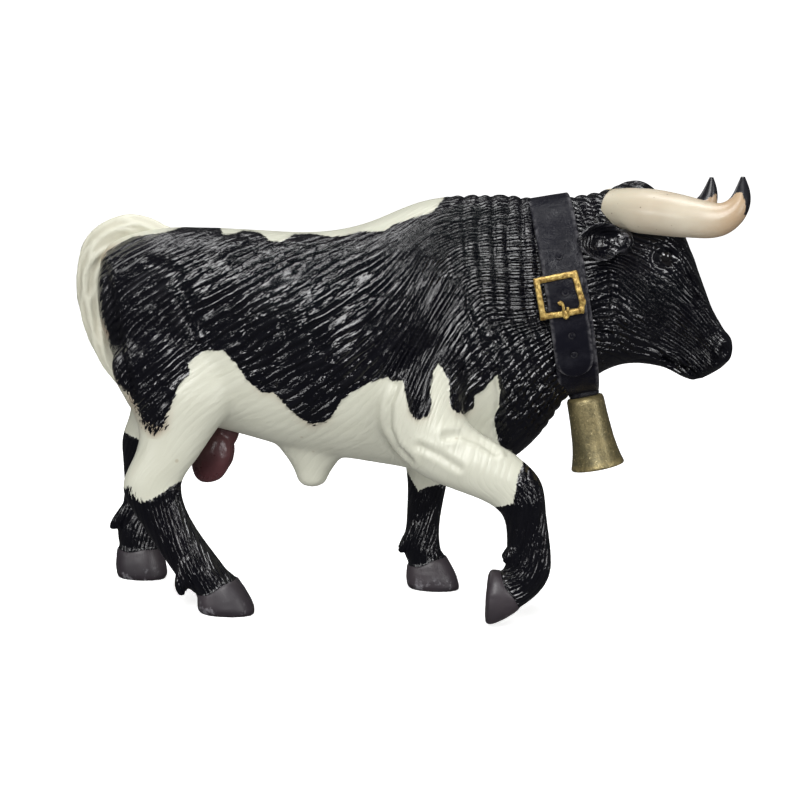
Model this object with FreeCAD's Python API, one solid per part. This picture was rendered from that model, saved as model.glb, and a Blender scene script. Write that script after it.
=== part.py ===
"""A moulded ox figure, walking: trunk, head, four legs, horns, ears, tail, scrotum, collar, buckle and bell.

Lengths are millimetres. +X is the way the animal faces, +Y its left side, +Z up. The figure stands on z = 0
and is centred on the origin at the end. Tables of places hold shares of the sizes that they follow.
"""
import FreeCAD, Part
import math
import os

from FreeCAD import Vector

# The figure as a whole
trunk_length = 106.0      # pin bones to the middle of the collar, level
withers_height = 92.0     # ground to the top of the shoulders
barrel_width = 40.0       # across the ribs
stance_inset = 8.0        # how much narrower the animal stands than its ribs are wide
stance_width = barrel_width - stance_inset    # between the middles of a left and a right hoof
head_length = 35.0        # middle of the collar to the nose, level
head_width = 24.5         # across the poll
neck_height = 42.4        # the neck under the collar, top to throat
neck_width = 27.0         # the neck under the collar, side to side
collar_lean = 11.5        # degrees that the neck's slice leans, throat forward
sheath_drop = 7.0         # how far the sheath hangs under the belly
sheath_length = 15.0
sheath_width = 9.0
fold_count = 3            # folds across the neck behind the collar
fold_height = 0.8         # how far a fold stands out
shoulder_height = 27.0    # the shoulder blade's bulge, top to bottom
shoulder_depth = 17.0     # front to back
shoulder_thickness = 9.0
shoulder_proud = 0.8      # how far it stands out of the ribs
shoulder_lean = 14.0      # degrees that it leans back
haunch_height = 27.0
haunch_depth = 21.0
haunch_thickness = 11.0
haunch_proud = 0.8
haunch_lean = 10.0
cheek_height = 19.0
cheek_depth = 18.0
cheek_thickness = 8.0
cheek_proud = 0.8
cheek_lean = -8.0

# Legs
thigh_depth = 29.0        # front to back at the stifle
thigh_width = 18.0
forearm_depth = 22.0      # front to back at the shoulder
forearm_width = 15.0
hoof_length = 12.0
hoof_width = 9.8
coronet_swell = 0.3       # how far the hoof's top stands out from the leg
cleft_width = 0.9         # gap between a hoof's two claws
cleft_depth = 4.2         # how far the gap runs back from the toe
dewclaw_length = 3.0
dewclaw_radius = 1.4
dewclaw_tip_radius = 0.7
dewclaw_root_depth = 1.6  # how deep a dewclaw starts inside the leg

# Plugs and sockets of the glued joints
leg_plug_radius = 2.6
leg_plug_length = 7.0
head_plug_height = 22.0
head_plug_width = 14.0
head_plug_length = 8.0
horn_plug_radius = 1.8
horn_plug_length = 4.0
ear_plug_radius = 1.0
ear_plug_length = 2.5
tail_plug_radius = 1.4
tail_plug_length = 4.0
scrotum_plug_radius = 1.5
scrotum_plug_length = 3.0
hanger_plug_radius = 0.8
hanger_plug_length = 1.4
plug_clearance = 0.1      # all round the side of a plug
plug_end_gap = 0.3        # beyond the end of a plug

# Horns, ears, eyes and muzzle
horn_reach = 23.0         # root to tip along X
horn_rise = 8.5           # root to tip along Z
horn_spread = 10.0        # root to the widest place along Y
horn_radius = 5.0
ear_length = 11.0
ear_width = 8.6
ear_thickness = 3.2
ear_wall = 1.0
ear_back = 35.0           # degrees that the ear stands out from straight back
ear_droop = 3.0           # degrees that its tip hangs
eye_radius = 2.2
eye_proud = 0.7           # how far the eyeball stands out of the socket
brow_radius = 3.4
brow_proud = 0.25
nostril_radius = 1.2
nostril_depth = 0.7
mouth_radius = 0.7

# Tail and scrotum
tail_radius = 3.0
tail_drop = 35.0          # root to the end of the switch
tail_back = 16.6          # how far the tail stands out behind its root
scrotum_height = 13.5
scrotum_depth = 8.6
lobe_width = 6.2
lobe_spacing = 4.8        # between the middles of the two lobes

# Collar
strap_width = 9.2
strap_thickness = 1.1
strap_bite = 0.6          # how far the strap's blank reaches into the neck before it is fitted
tongue_thickness = 0.7    # the strap's free end, lying on the band
tongue_width = 8.2
tongue_above = 4.2        # from the buckle's middle up to where the free end goes under
tongue_below = 16.5       # from the buckle's middle down to its tip
strap_hole_radius = 0.65
strap_hole_depth = 0.5
strap_hole_pitch = 4.0
strap_hole_top = 9.0      # from the buckle's middle up to the first hole
strap_hole_count = 6

# Buckle
buckle_width = 10.2       # along the neck
buckle_height = 9.6       # along the strap
buckle_corner_radius = 0.9
buckle_bar = 1.3
buckle_thickness = 0.9    # above the strap
buckle_back = 1.2         # its middle lies this far behind the strap's
buckle_bite = 0.5         # how deep its blank reaches before it is fitted to the strap
prong_width = 1.0
prong_length = 3.4
prong_thickness = 0.7
prong_overhang = 0.3      # how far the tip passes the bar

# Bell
bell_height = 16.2
bell_crown_radius = 4.2
bell_mouth_radius = 5.7
bell_wall = 1.0
bell_crown = 2.0          # solid metal above the hollow
bell_edge = 0.8           # roundness of the crown's edge
bell_lean = 12.5          # degrees, mouth forward
bell_ahead = 1.2          # its top lies this far in front of the strap's middle
hanger_length = 5.4       # side to side
hanger_depth = 3.4
hanger_drop = 0.9         # strap to bell
hanger_bite = 1.6         # how deep its blank reaches before it is fitted to the strap

overrun = 1.0             # how far a cutter runs past what it cuts
body_points = 16          # corners of a slice of the trunk or the head
ring_points = 12          # corners of a slice of a limb
tube_points = 10          # corners of a slice of a horn, an ear or the tail
strap_points = 40         # corners of the collar's oval
bell_points = 20          # corners round the bell
claw_points = 8           # corners round a dewclaw
skin_steps = 2            # facets along a body from one slice to the next

# Trunk slices, rump to neck: top x, top z, low x, low z, width, and how much narrower the low side is.
# x is a share of the trunk's length, z of the withers' height, width of the barrel's width.
trunk_shares = [
    (-0.634, 0.826, -0.636, 0.690, 0.18, 0.00),
    (-0.612, 0.862, -0.616, 0.625, 0.40, 0.00),
    (-0.550, 0.884, -0.556, 0.520, 0.62, -0.05),
    (-0.453, 0.895, -0.450, 0.448, 0.82, 0.00),
    (-0.340, 0.897, -0.345, 0.412, 0.92, 0.05),
    (-0.208, 0.897, -0.208, 0.372, 0.99, 0.06),
    (-0.080, 0.930, -0.075, 0.352, 1.02, 0.08),
    (0.010, 0.975, 0.028, 0.340, 1.00, 0.16),
    (0.085, 0.998, 0.123, 0.330, 0.94, 0.30),
    (0.165, 1.003, 0.222, 0.372, 0.84, 0.36),
    (0.225, 1.003, 0.300, 0.455, 0.74, 0.26),
]
neck_middle_shares = (0.332, 0.772)
shoulder_middle_shares = (0.050, 0.690)
haunch_middle_shares = (-0.455, 0.700)
cheek_middle_shares = (0.480, 0.712)      # of the head's length and the withers' height
sheath_middle_shares = (-0.182, 0.360)
# The sheath's slices: how far down, length and width.
sheath_shares = [
    (-0.90, 1.25, 1.30),
    (0.00, 0.90, 0.92),
    (0.45, 0.52, 0.62),
    (0.82, 0.32, 0.40),
    (1.00, 0.14, 0.18),
]

# Head slices, collar to nose, as the trunk's: x is a share of the head's length in front of the collar's
# middle, z of the withers' height, width of the head's width.
head_shares = [
    (0.13, 1.016, 0.360, 0.598, 1.00, 0.20),
    (0.31, 1.034, 0.430, 0.606, 0.97, 0.25),
    (0.49, 1.044, 0.530, 0.614, 0.95, 0.34),
    (0.66, 0.990, 0.650, 0.612, 0.90, 0.40),
    (0.80, 0.905, 0.745, 0.600, 0.78, 0.38),
    (0.91, 0.800, 0.810, 0.587, 0.64, 0.26),
    (1.00, 0.718, 0.870, 0.576, 0.60, 0.10),
    (1.065, 0.675, 0.945, 0.580, 0.58, 0.00),
    (1.085, 0.655, 1.020, 0.598, 0.50, 0.00),
    (1.095, 0.645, 1.055, 0.614, 0.30, 0.00),
]
eye_shares = (0.600, 0.878)
nostril_shares = (1.045, 0.672)
mouth_shares = (0.925, 0.592)

# Limb slices, from inside the trunk to the coronet: x, z, how far out, depth, width, lean in degrees.
# x is a share of the trunk's length, z of the withers' height, how far out of half the stance's width,
# depth and width of the limb's own.
hind_right_shares = [
    (-0.472, 0.652, 0.50, 0.80, 0.72, 12),
    (-0.467, 0.587, 0.66, 0.91, 0.90, 4),
    (-0.448, 0.505, 0.80, 0.88, 0.89, -3),
    (-0.434, 0.435, 0.87, 0.69, 0.69, -3),
    (-0.467, 0.361, 0.93, 0.524, 0.49, 0),
    (-0.500, 0.298, 0.96, 0.424, 0.43, 6),
    (-0.482, 0.239, 0.97, 0.366, 0.38, 10),
    (-0.453, 0.185, 0.98, 0.331, 0.35, 18),
    (-0.418, 0.130, 0.99, 0.331, 0.37, 22),
    (-0.387, 0.087, 1.00, 0.331, 0.41, 24),
    (-0.364, 0.063, 1.00, 0.310, 0.45, 26),
]
hind_left_shares = [
    (-0.481, 0.652, 0.50, 0.80, 0.72, 10),
    (-0.481, 0.587, 0.66, 0.91, 0.90, 2),
    (-0.486, 0.505, 0.80, 0.84, 0.87, -6),
    (-0.506, 0.424, 0.88, 0.604, 0.62, -7),
    (-0.541, 0.359, 0.93, 0.476, 0.48, -4),
    (-0.549, 0.301, 0.96, 0.396, 0.42, -3),
    (-0.555, 0.237, 0.98, 0.331, 0.37, -3),
    (-0.560, 0.174, 0.99, 0.317, 0.35, 0),
    (-0.566, 0.120, 1.00, 0.345, 0.40, 0),
    (-0.562, 0.078, 1.00, 0.350, 0.45, 4),
]
front_right_shares = [
    (0.047, 0.663, 0.58, 0.86, 0.76, 5),
    (0.040, 0.545, 0.84, 0.90, 0.98, 12),
    (0.074, 0.425, 1.04, 0.72, 0.90, 40),
    (0.160, 0.375, 1.18, 0.570, 0.72, 60),
    (0.229, 0.338, 1.25, 0.514, 0.63, 52),
    (0.252, 0.311, 1.27, 0.473, 0.59, 36),
    (0.262, 0.270, 1.27, 0.410, 0.52, 24),
    (0.269, 0.217, 1.27, 0.400, 0.47, 10),
    (0.273, 0.175, 1.26, 0.418, 0.48, -2),
    (0.271, 0.138, 1.25, 0.436, 0.52, -12),
    (0.255, 0.106, 1.24, 0.420, 0.52, -30),
    (0.227, 0.083, 1.24, 0.415, 0.56, -48),
]
front_left_shares = [
    (0.038, 0.663, 0.58, 0.86, 0.76, 3),
    (0.036, 0.520, 0.80, 0.82, 0.94, 3),
    (0.058, 0.414, 0.92, 0.61, 0.77, 2),
    (0.067, 0.326, 1.00, 0.480, 0.60, 0),
    (0.067, 0.272, 1.00, 0.410, 0.56, 0),
    (0.063, 0.207, 1.00, 0.355, 0.46, 0),
    (0.060, 0.147, 1.00, 0.350, 0.45, 0),
    (0.060, 0.105, 1.00, 0.405, 0.51, 0),
    (0.071, 0.073, 1.00, 0.410, 0.56, 7),
]
# The sole's middle as shares of the trunk's length and the withers' height, and its lean in degrees.
hind_right_sole_shares = (-0.337, 0.0, 0)
hind_left_sole_shares = (-0.552, 0.0, 0)
front_left_sole_shares = (0.088, 0.0, 0)
front_right_sole_shares = (0.194, 0.055, -79)

# Horn slices, root to tip: along X, Y and Z, and radius, as shares of its reach, spread, rise and radius.
horn_root_shares = (0.345, 0.40, 0.983)   # of the head's length, the head's width and the withers' height
horn_shares = [
    (-0.10, -0.40, 0.02, 0.88),
    (0.07, -0.02, 0.02, 0.96),
    (0.33, 0.40, -0.04, 0.95),
    (0.62, 0.80, -0.13, 0.80),
    (0.86, 1.00, -0.06, 0.65),
    (0.97, 1.02, 0.29, 0.50),
    (1.00, 0.99, 0.66, 0.32),
    (0.99, 0.96, 1.00, 0.08),
]
# Ear slices: along the ear, width and thickness.
ear_root_shares = (0.335, 0.912)
ear_shares = [
    (-0.15, 0.42, 0.70),
    (0.12, 0.62, 0.90),
    (0.38, 0.98, 1.00),
    (0.62, 0.92, 0.85),
    (0.85, 0.55, 0.55),
    (1.00, 0.12, 0.20),
]
ear_cup_shares = (0.42, 0.37, 0.36)       # the hollow's middle along the ear, half length, half width

# Tail slices, root to tip: back, aside, up and radius, as shares of how far back it goes, its radius, its
# drop and its radius.
tail_root_shares = (-0.508, 0.862)
tail_shares = [
    (-0.10, 0.0, -0.03, 0.80),
    (0.22, 0.0, 0.07, 0.92),
    (0.55, 0.0, 0.07, 1.00),
    (0.86, 0.0, -0.04, 1.04),
    (0.97, 0.1, -0.22, 0.94),
    (0.95, 0.2, -0.42, 0.80),
    (0.86, 0.3, -0.60, 0.72),
    (0.72, 0.3, -0.76, 0.66),
    (0.55, 0.2, -0.90, 0.50),
    (0.45, 0.2, -1.00, 0.14),
]
# The bell's wall, from under its crown to its mouth: how far down, and how much of the flare it has there.
bell_flare_shares = [(0.45, 0.22), (0.80, 0.52), (0.94, 0.78), (1.00, 1.00)]
scrotum_top_shares = (-0.375, 0.428)
scrotum_lean = -14.0      # degrees that it hangs backwards


def along_trunk(share):
    return share * trunk_length


def above_ground(share):
    return share * withers_height


def trunk_point(x_share, z_share):
    return Vector(along_trunk(x_share), 0, above_ground(z_share))


def slope(degrees):
    """The direction in the figure's side view that rises by so many degrees from straight ahead."""
    angle = math.radians(degrees)
    return Vector(math.cos(angle), 0, math.sin(angle))


def ring(middle, along, across, count=ring_points, taper=0.0):
    """Points round an oval with half axes along and across. taper narrows it at the far end of along."""
    points = []
    for i in range(count):
        turn = 2 * math.pi * i / count
        narrow = 1 - taper * (1 - math.cos(turn)) / 2
        points.append(middle + along * math.cos(turn) + across * (math.sin(turn) * narrow))
    return points


def upright_ring(top, low, width, taper=0.0):
    """An oval that stands on the line from low to top in the side view."""
    return ring((top + low) * 0.5, (top - low) * 0.5, Vector(0, width / 2, 0), body_points, taper)


def closer_rings(rings):
    """The rings with smooth ones added between them, skin_steps to each gap."""
    times = [0.0]
    for one, two in zip(rings, rings[1:]):
        gaps = [(b - a).Length for a, b in zip(one, two)]
        times.append(times[-1] + sum(gaps) / len(gaps))
    moments = [times[0]]
    for start, end in zip(times, times[1:]):
        moments += [start + (end - start) * (i + 1) / skin_steps for i in range(skin_steps)]
    columns = []
    for column in zip(*rings):
        curve = Part.BSplineCurve()
        curve.interpolate(Points=list(column), Parameters=times)
        columns.append([curve.value(moment) for moment in moments])
    return [list(points) for points in zip(*columns)]


def swollen(points, height):
    """A ring with its points moved outwards from its middle."""
    middle = sum(points, Vector()) * (1 / len(points))
    return [point + (point - middle).normalize() * height for point in points]


def skin(rings):
    """A closed solid through rings of points, smooth along its length, with flat ends."""
    return facets_through(closer_rings(rings))


def facets_through(rings):
    count = len(rings[0])
    faces = [Part.Face(Part.makePolygon(points + points[:1])) for points in (rings[0], rings[-1])]
    for one, two in zip(rings, rings[1:]):
        for i in range(count):
            k = (i + 1) % count
            corners = [one[i], one[k], two[k], two[i]]
            if (one[i] - two[k]).Length > (one[k] - two[i]).Length:
                corners = corners[1:] + corners[:1]
            first, second, third, fourth = corners
            faces.append(Part.Face(Part.makePolygon([first, second, third, first])))
            faces.append(Part.Face(Part.makePolygon([first, third, fourth, first])))
    shell = Part.makeShell(faces)
    shell.sewShape()
    solid = Part.makeSolid(shell)
    if solid.Volume < 0:
        solid.reverse()
    return solid


def tube(rows):
    """A round tube of changing thickness through rows of middle and radius."""
    rings = []
    side = Vector(0, 0, 1)
    for i, (middle, radius) in enumerate(rows):
        ahead = rows[min(i + 1, len(rows) - 1)][0] - rows[max(i - 1, 0)][0]
        ahead.normalize()
        side = side - ahead * side.dot(ahead)
        side.normalize()
        rings.append(ring(middle, side * radius, ahead.cross(side) * radius, tube_points))
    return skin(rings)


def ball(middle, along, across, up, count=tube_points):
    """An egg with three half axes, given as vectors at right angles, with its ends cut flat along up."""
    rings = []
    steps = count * 2 // 3 + 1
    for i in range(steps):
        turn = math.pi * (i + 0.5) / steps
        wide = math.sin(turn)
        rings.append(ring(middle + up * -math.cos(turn), along * wide, across * wide, count))
    return facets_through(rings)


def place_on(shape, origin, axis_x, axis_y):
    """Moves a shape made at the origin on to the given axes."""
    axis_z = axis_x.cross(axis_y)
    shape.Placement = FreeCAD.Placement(FreeCAD.Matrix(
        axis_x.x, axis_y.x, axis_z.x, origin.x,
        axis_x.y, axis_y.y, axis_z.y, origin.y,
        axis_x.z, axis_y.z, axis_z.z, origin.z,
        0, 0, 0, 1))
    return shape


def main_solid(shape):
    """The largest solid of a result, without the shavings that a cut can leave."""
    return max(shape.Solids, key=lambda solid: solid.Volume)


def mirrored(shape):
    return shape.mirror(Vector(0, 0, 0), Vector(0, 1, 0))


def surface_point(carrier, inside, outside):
    """Where the line from inside to outside leaves the carrier."""
    line = Part.makeLine(inside, outside)
    kept = line.common(carrier)
    return max((vertex.Point for vertex in kept.Vertexes), key=lambda point: (point - inside).Length)


def fit(piece, carrier, inside, outside, radius, length):
    """Seats a piece against its carrier and joins them with a plug on the line from outside to inside.

    Returns the piece with its plug and the carrier with its socket.
    """
    seat = surface_point(carrier, inside, outside)
    inward = inside - outside
    inward.normalize()
    root = seat - inward * (2 * radius)
    plug = Part.makeCylinder(radius, 2 * radius + length, root, inward)
    socket = Part.makeCylinder(radius + plug_clearance, 2 * radius + length + plug_end_gap, root, inward)
    seated = main_solid(piece.cut(carrier))
    return main_solid(seated.fuse(plug)), main_solid(carrier.cut(socket))


# The neck's slice, on which the head, the collar, the buckle and the bell are placed
neck_ahead = slope(collar_lean)
neck_up = Vector(-neck_ahead.z, 0, neck_ahead.x)
outwards = neck_ahead.cross(neck_up)
neck_middle = Vector(along_trunk(neck_middle_shares[0]), 0, above_ground(neck_middle_shares[1]))


def neck_ring(ahead):
    middle = neck_middle + neck_ahead * ahead
    return ring(middle, neck_up * (neck_height / 2), Vector(0, neck_width / 2, 0), body_points)


def neck_oval(height, width, start, length):
    """A straight bar with an oval section along the neck."""
    middle = neck_middle + neck_ahead * start
    oval = ring(middle, neck_up * (height / 2), Vector(0, width / 2, 0), strap_points)
    return Part.Face(Part.makePolygon(oval + oval[:1])).extrude(neck_ahead * length)


def trunk_form():
    rings = []
    for top_x, top_z, low_x, low_z, width, taper in trunk_shares:
        top = Vector(along_trunk(top_x), 0, above_ground(top_z))
        low = Vector(along_trunk(low_x), 0, above_ground(low_z))
        rings.append(upright_ring(top, low, width * barrel_width, taper))
    rings.append(neck_ring(-strap_width / 2))
    rings = closer_rings(rings)
    for i in range(fold_count):
        fold = len(rings) - 2 - 2 * i
        rings[fold] = swollen(rings[fold], fold_height)
    return facets_through(rings + [neck_ring(0)])


def with_bulges(body, middle, width, height, depth, thickness, proud, lean):
    """Adds a muscle's flat bulge to both sides of a body."""
    ahead = slope(lean)
    up = Vector(-ahead.z, 0, ahead.x)
    for side in (-1, 1):
        outward = Vector(0, side, 0)
        seat = surface_point(body, middle, middle + outward * width)
        body = body.fuse(ball(seat - outward * (thickness / 2 - proud), ahead * (depth / 2),
                              outward * (thickness / 2), up * (height / 2)))
    return main_solid(body)


def sheath_form():
    middle_x, middle_z = sheath_middle_shares
    rings = []
    for drop, length, width in sheath_shares:
        middle = Vector(along_trunk(middle_x), 0, above_ground(middle_z) - drop * sheath_drop)
        along = Vector(length * sheath_length / 2, 0, 0)
        rings.append(ring(middle, along, Vector(0, width * sheath_width / 2, 0)))
    return skin(rings)


def head_point(x_share, z_share):
    return Vector(neck_middle.x + x_share * head_length, 0, above_ground(z_share))


def head_form():
    rings = [neck_ring(0), neck_ring(strap_width / 2)]
    for top_x, top_z, low_x, low_z, width, taper in head_shares:
        top = head_point(top_x, top_z)
        rings.append(upright_ring(top, head_point(low_x, low_z), width * head_width, taper))
    return skin(rings)


def with_face(head):
    """Adds the eyes with their brows, and cuts the nostrils and the corner of the mouth."""
    for side in (-1, 1):
        reach = Vector(0, side * head_width, 0)
        eye = surface_point(head, head_point(*eye_shares), head_point(*eye_shares) + reach)
        for radius, proud in ((brow_radius, brow_proud), (eye_radius, eye_proud)):
            middle = eye - Vector(0, side * (radius - proud), 0)
            head = head.fuse(ball(middle, Vector(radius, 0, 0), Vector(0, 0, radius), Vector(0, radius, 0)))
        nostril = surface_point(head, head_point(*nostril_shares), head_point(*nostril_shares) + reach)
        hole = nostril + Vector(0, side * (nostril_radius - nostril_depth), 0)
        head = head.cut(ball(hole, Vector(nostril_radius, 0, 0), Vector(0, 0, nostril_radius),
                             Vector(0, nostril_radius, 0)))
    mouth = head_point(*mouth_shares) - Vector(0, head_width / 2, 0)
    return main_solid(head.cut(Part.makeCylinder(mouth_radius, head_width, mouth, Vector(0, 1, 0))))


def limb_rows(shares, depth, width, side):
    """A limb's slices as middle, forward direction, depth and width."""
    rows = []
    for x, z, out, depth_share, width_share, lean in shares:
        middle = Vector(along_trunk(x), side * out * stance_width / 2, above_ground(z))
        rows.append((middle, slope(lean), depth_share * depth, width_share * width))
    return rows


def row_ring(middle, forward, depth, width):
    return ring(middle, forward * (depth / 2), Vector(0, width / 2, 0))


def hoof_form(last_row, sole_shares):
    """The cloven hoof under a limb's last slice, open at the toe."""
    middle, forward, depth, width = last_row
    sole_x, sole_z, lean = sole_shares
    sole = Vector(along_trunk(sole_x), middle.y, above_ground(sole_z))
    sole_forward = slope(lean)
    top_depth = depth + 2 * coronet_swell
    top_width = width + 2 * coronet_swell
    waist_forward = forward + sole_forward
    waist_forward.normalize()
    hoof = skin([
        row_ring(middle, forward, top_depth, top_width),
        row_ring((middle + sole) * 0.5, waist_forward, (top_depth + hoof_length) / 2,
                 (top_width + hoof_width) / 2),
        row_ring(sole, sole_forward, hoof_length, hoof_width),
    ])
    down = Vector(sole_forward.z, 0, -sole_forward.x)
    tall = (sole - middle).Length + 2 * overrun
    cleft = Part.makeBox(cleft_depth + overrun, cleft_width, tall)
    corner = sole + sole_forward * (hoof_length / 2 - cleft_depth) + down * overrun
    corner = corner - Vector(0, cleft_width / 2, 0)
    return hoof.cut(place_on(cleft, corner, sole_forward, Vector(0, 1, 0)))


def dewclaws(row):
    """Two blunt claws at the back of the slice above the coronet."""
    middle, forward, depth, width = row
    down = Vector(forward.z, 0, -forward.x)
    out = down - forward
    out.normalize()
    claws = []
    for side in (-1, 1):
        root = middle - forward * (depth / 2 - dewclaw_root_depth) + Vector(0, side * width / 4, 0)
        rings = []
        for along, radius in ((0, dewclaw_radius), (dewclaw_length, dewclaw_tip_radius)):
            rings.append(ring(root + out * along, forward.cross(out).cross(out) * radius,
                              Vector(0, radius, 0), claw_points))
        claws.append(skin(rings))
    return claws


def leg(shares, depth, width, side, sole_shares, trunk):
    """Returns the leg with its plug, and the trunk with the leg's socket."""
    rows = limb_rows(shares, depth, width, side)
    limb = skin([row_ring(*row) for row in rows])
    limb = limb.fuse([hoof_form(rows[-1], sole_shares)] + dewclaws(rows[-2]))
    floor = Part.makeBox(trunk_length, stance_width * 2, withers_height)
    floor.translate(Vector(rows[-1][0].x - trunk_length / 2, -stance_width, -withers_height))
    limb = main_solid(limb.cut(floor))
    return fit(limb, trunk, rows[0][0], rows[2][0], leg_plug_radius, leg_plug_length)


def horn_form():
    """The left horn, and the line that its plug lies on."""
    root_x, root_y, root_z = horn_root_shares
    root = head_point(root_x, root_z) + Vector(0, root_y * head_width, 0)
    rows = []
    for x, y, z, radius in horn_shares:
        rows.append((root + Vector(x * horn_reach, y * horn_spread, z * horn_rise), radius * horn_radius))
    inside = rows[0][0] - (rows[1][0] - rows[0][0])
    return tube(rows), inside, rows[1][0]


def ear_form():
    """The left ear, a cupped leaf that opens outwards, and the line that its plug lies on."""
    angle = math.radians(ear_back)
    droop = math.radians(ear_droop)
    along = Vector(-math.cos(angle) * math.cos(droop), math.sin(angle) * math.cos(droop), -math.sin(droop))
    facing = Vector(math.sin(angle), math.cos(angle), 0)
    up = facing.cross(along) * -1
    root_x, root_z = ear_root_shares
    root = head_point(root_x, root_z) + Vector(0, head_width / 2, 0)
    rings = []
    for place, width, thickness in ear_shares:
        rings.append(ring(root + along * (place * ear_length), up * (width * ear_width / 2),
                          facing * (thickness * ear_thickness / 2), tube_points))
    leaf = skin(rings)
    place, half_length, half_width = ear_cup_shares
    cup_middle = root + along * (place * ear_length) + facing * (ear_thickness / 2)
    cup = ball(cup_middle, up * (half_width * ear_width), facing * (ear_thickness - ear_wall),
               along * (half_length * ear_length))
    return main_solid(leaf.cut(cup)), root - along * ear_length / 2, root + along * (ear_length / 4)


def tail_form():
    root_x, root_z = tail_root_shares
    root = Vector(along_trunk(root_x), 0, above_ground(root_z))
    rows = []
    for back, aside, up, radius in tail_shares:
        middle = root + Vector(-back * tail_back, aside * tail_radius, up * tail_drop)
        rows.append((middle, radius * tail_radius))
    return tube(rows), root + Vector(tail_back / 2, 0, -tail_radius), rows[1][0]


def scrotum_form():
    top_x, top_z = scrotum_top_shares
    top = Vector(along_trunk(top_x), 0, above_ground(top_z))
    ahead = slope(scrotum_lean)
    up = Vector(-ahead.z, 0, ahead.x)
    middle = top - up * (scrotum_height * 2 / 3)
    neck = [(scrotum_plug_length, scrotum_depth / 2), (-scrotum_height / 4, scrotum_depth / 3),
            (-scrotum_height / 2, scrotum_depth / 3)]
    shape = skin([ring(top + up * rise, ahead * reach, Vector(0, reach, 0), tube_points)
                  for rise, reach in neck])
    for side in (-1, 1):
        shape = shape.fuse(ball(middle + Vector(0, side * lobe_spacing / 2, 0), ahead * (scrotum_depth / 2),
                                Vector(0, lobe_width / 2, 0), up * (scrotum_height / 3)))
    return main_solid(shape), top + up * (2 * scrotum_plug_length), middle


def on_strap(up, ahead, out):
    """A place by the strap's near side, out from the neck's surface under its middle."""
    return neck_middle + neck_up * up + neck_ahead * ahead + outwards * (neck_width / 2 + out)


def side_slab(low, high, width, corner_radius, inner, outer, ahead=0.0, round_top=True):
    """A slab on the strap's near side: a rounded rectangle, low to high, between two heights off the neck."""
    slab = Part.makeBox(width, high - low, outer - inner)
    edges = [edge for edge in slab.Edges if abs(edge.Vertexes[0].Z - edge.Vertexes[1].Z) > 0]
    if not round_top:
        edges = [edge for edge in edges if edge.Vertexes[0].Y == 0]
    slab = slab.makeFillet(corner_radius, edges)
    corner = on_strap(low, ahead - width / 2, inner)
    return place_on(slab, corner, neck_ahead, neck_up)


def collar_strap(trunk, head):
    """The band round the neck, with its free end lying on it under the buckle, and its holes."""
    def band(grow, width):
        return neck_oval(neck_height + 2 * grow, neck_width + 2 * grow, -width / 2, width)
    strap = band(strap_thickness, strap_width).cut(band(-strap_bite, strap_width + 2 * overrun))
    tongue = band(strap_thickness + tongue_thickness, tongue_width).cut(
        band(strap_thickness / 2, strap_width + 2 * overrun))
    tongue = tongue.common(side_slab(-tongue_below, tongue_above, tongue_width, tongue_width / 3,
                                     -neck_width / 2, neck_width / 2, round_top=False))
    strap = strap.fuse(tongue)
    strap = strap.cut(trunk).cut(head)
    for i in range(strap_hole_count):
        up = strap_hole_top - i * strap_hole_pitch
        seat = surface_point(strap, on_strap(up, 0, -neck_width / 2), on_strap(up, 0, neck_width))
        strap = strap.cut(Part.makeCylinder(strap_hole_radius, strap_hole_depth + overrun,
                                            seat - outwards * strap_hole_depth, outwards))
    return main_solid(strap)


def buckle_frame(strap):
    top = strap_thickness + tongue_thickness + buckle_thickness
    low = strap_thickness + tongue_thickness - buckle_bite
    half = buckle_height / 2
    frame = side_slab(-half, half, buckle_width, buckle_corner_radius, low, top, -buckle_back)
    window = side_slab(-half + buckle_bar, half - buckle_bar, buckle_width - 2 * buckle_bar,
                       buckle_corner_radius / 2, low - overrun, top + overrun, -buckle_back)
    return main_solid(frame.cut(window).cut(strap))


def buckle_prong(strap, frame):
    """The prong's end, which comes out of a hole and rests on the frame's lower bar."""
    strap_top = strap_thickness + tongue_thickness
    bar_top = strap_top + buckle_thickness
    tip = -buckle_height / 2 - prong_overhang
    side = -prong_width / 2
    outline = [
        on_strap(tip, side, bar_top),
        on_strap(tip, side, bar_top + prong_thickness / 2),
        on_strap(tip + prong_thickness, side, bar_top + prong_thickness),
        on_strap(tip + prong_length - prong_thickness * 2, side, bar_top + prong_thickness),
        on_strap(tip + prong_length, side, strap_top),
        on_strap(tip + prong_length, side, strap_thickness),
        on_strap(tip + prong_overhang, side, strap_thickness),
    ]
    blank = Part.Face(Part.makePolygon(outline + outline[:1])).extrude(neck_ahead * prong_width)
    return main_solid(blank.cut(frame).cut(strap))


bell_down = Vector(math.sin(math.radians(bell_lean)), 0, -math.cos(math.radians(bell_lean)))
bell_top = neck_middle - neck_up * (neck_height / 2 + strap_thickness + hanger_drop) + neck_ahead * bell_ahead


def bell_form():
    """A cast bell: a wall that flares to the mouth under a solid crown."""
    flare = bell_mouth_radius - bell_crown_radius
    side = Vector(0, 1, 0)
    front = side.cross(bell_down)

    def round_at(down, radius):
        return ring(bell_top + bell_down * down, front * radius, side * radius, bell_points)
    outer = [
        round_at(0, bell_crown_radius - bell_edge),
        round_at(bell_edge / 3, bell_crown_radius - bell_edge / 3),
        round_at(bell_edge, bell_crown_radius),
    ]
    inner = [round_at(bell_crown, bell_crown_radius - bell_wall)]
    for down, out in bell_flare_shares:
        radius = bell_crown_radius + out * flare
        outer.append(round_at(down * bell_height, radius))
        inner.append(round_at(down * bell_height, radius - bell_wall))
    inner.append(round_at(bell_height + overrun, bell_mouth_radius))
    return skin(outer).cut(skin(inner))


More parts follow.
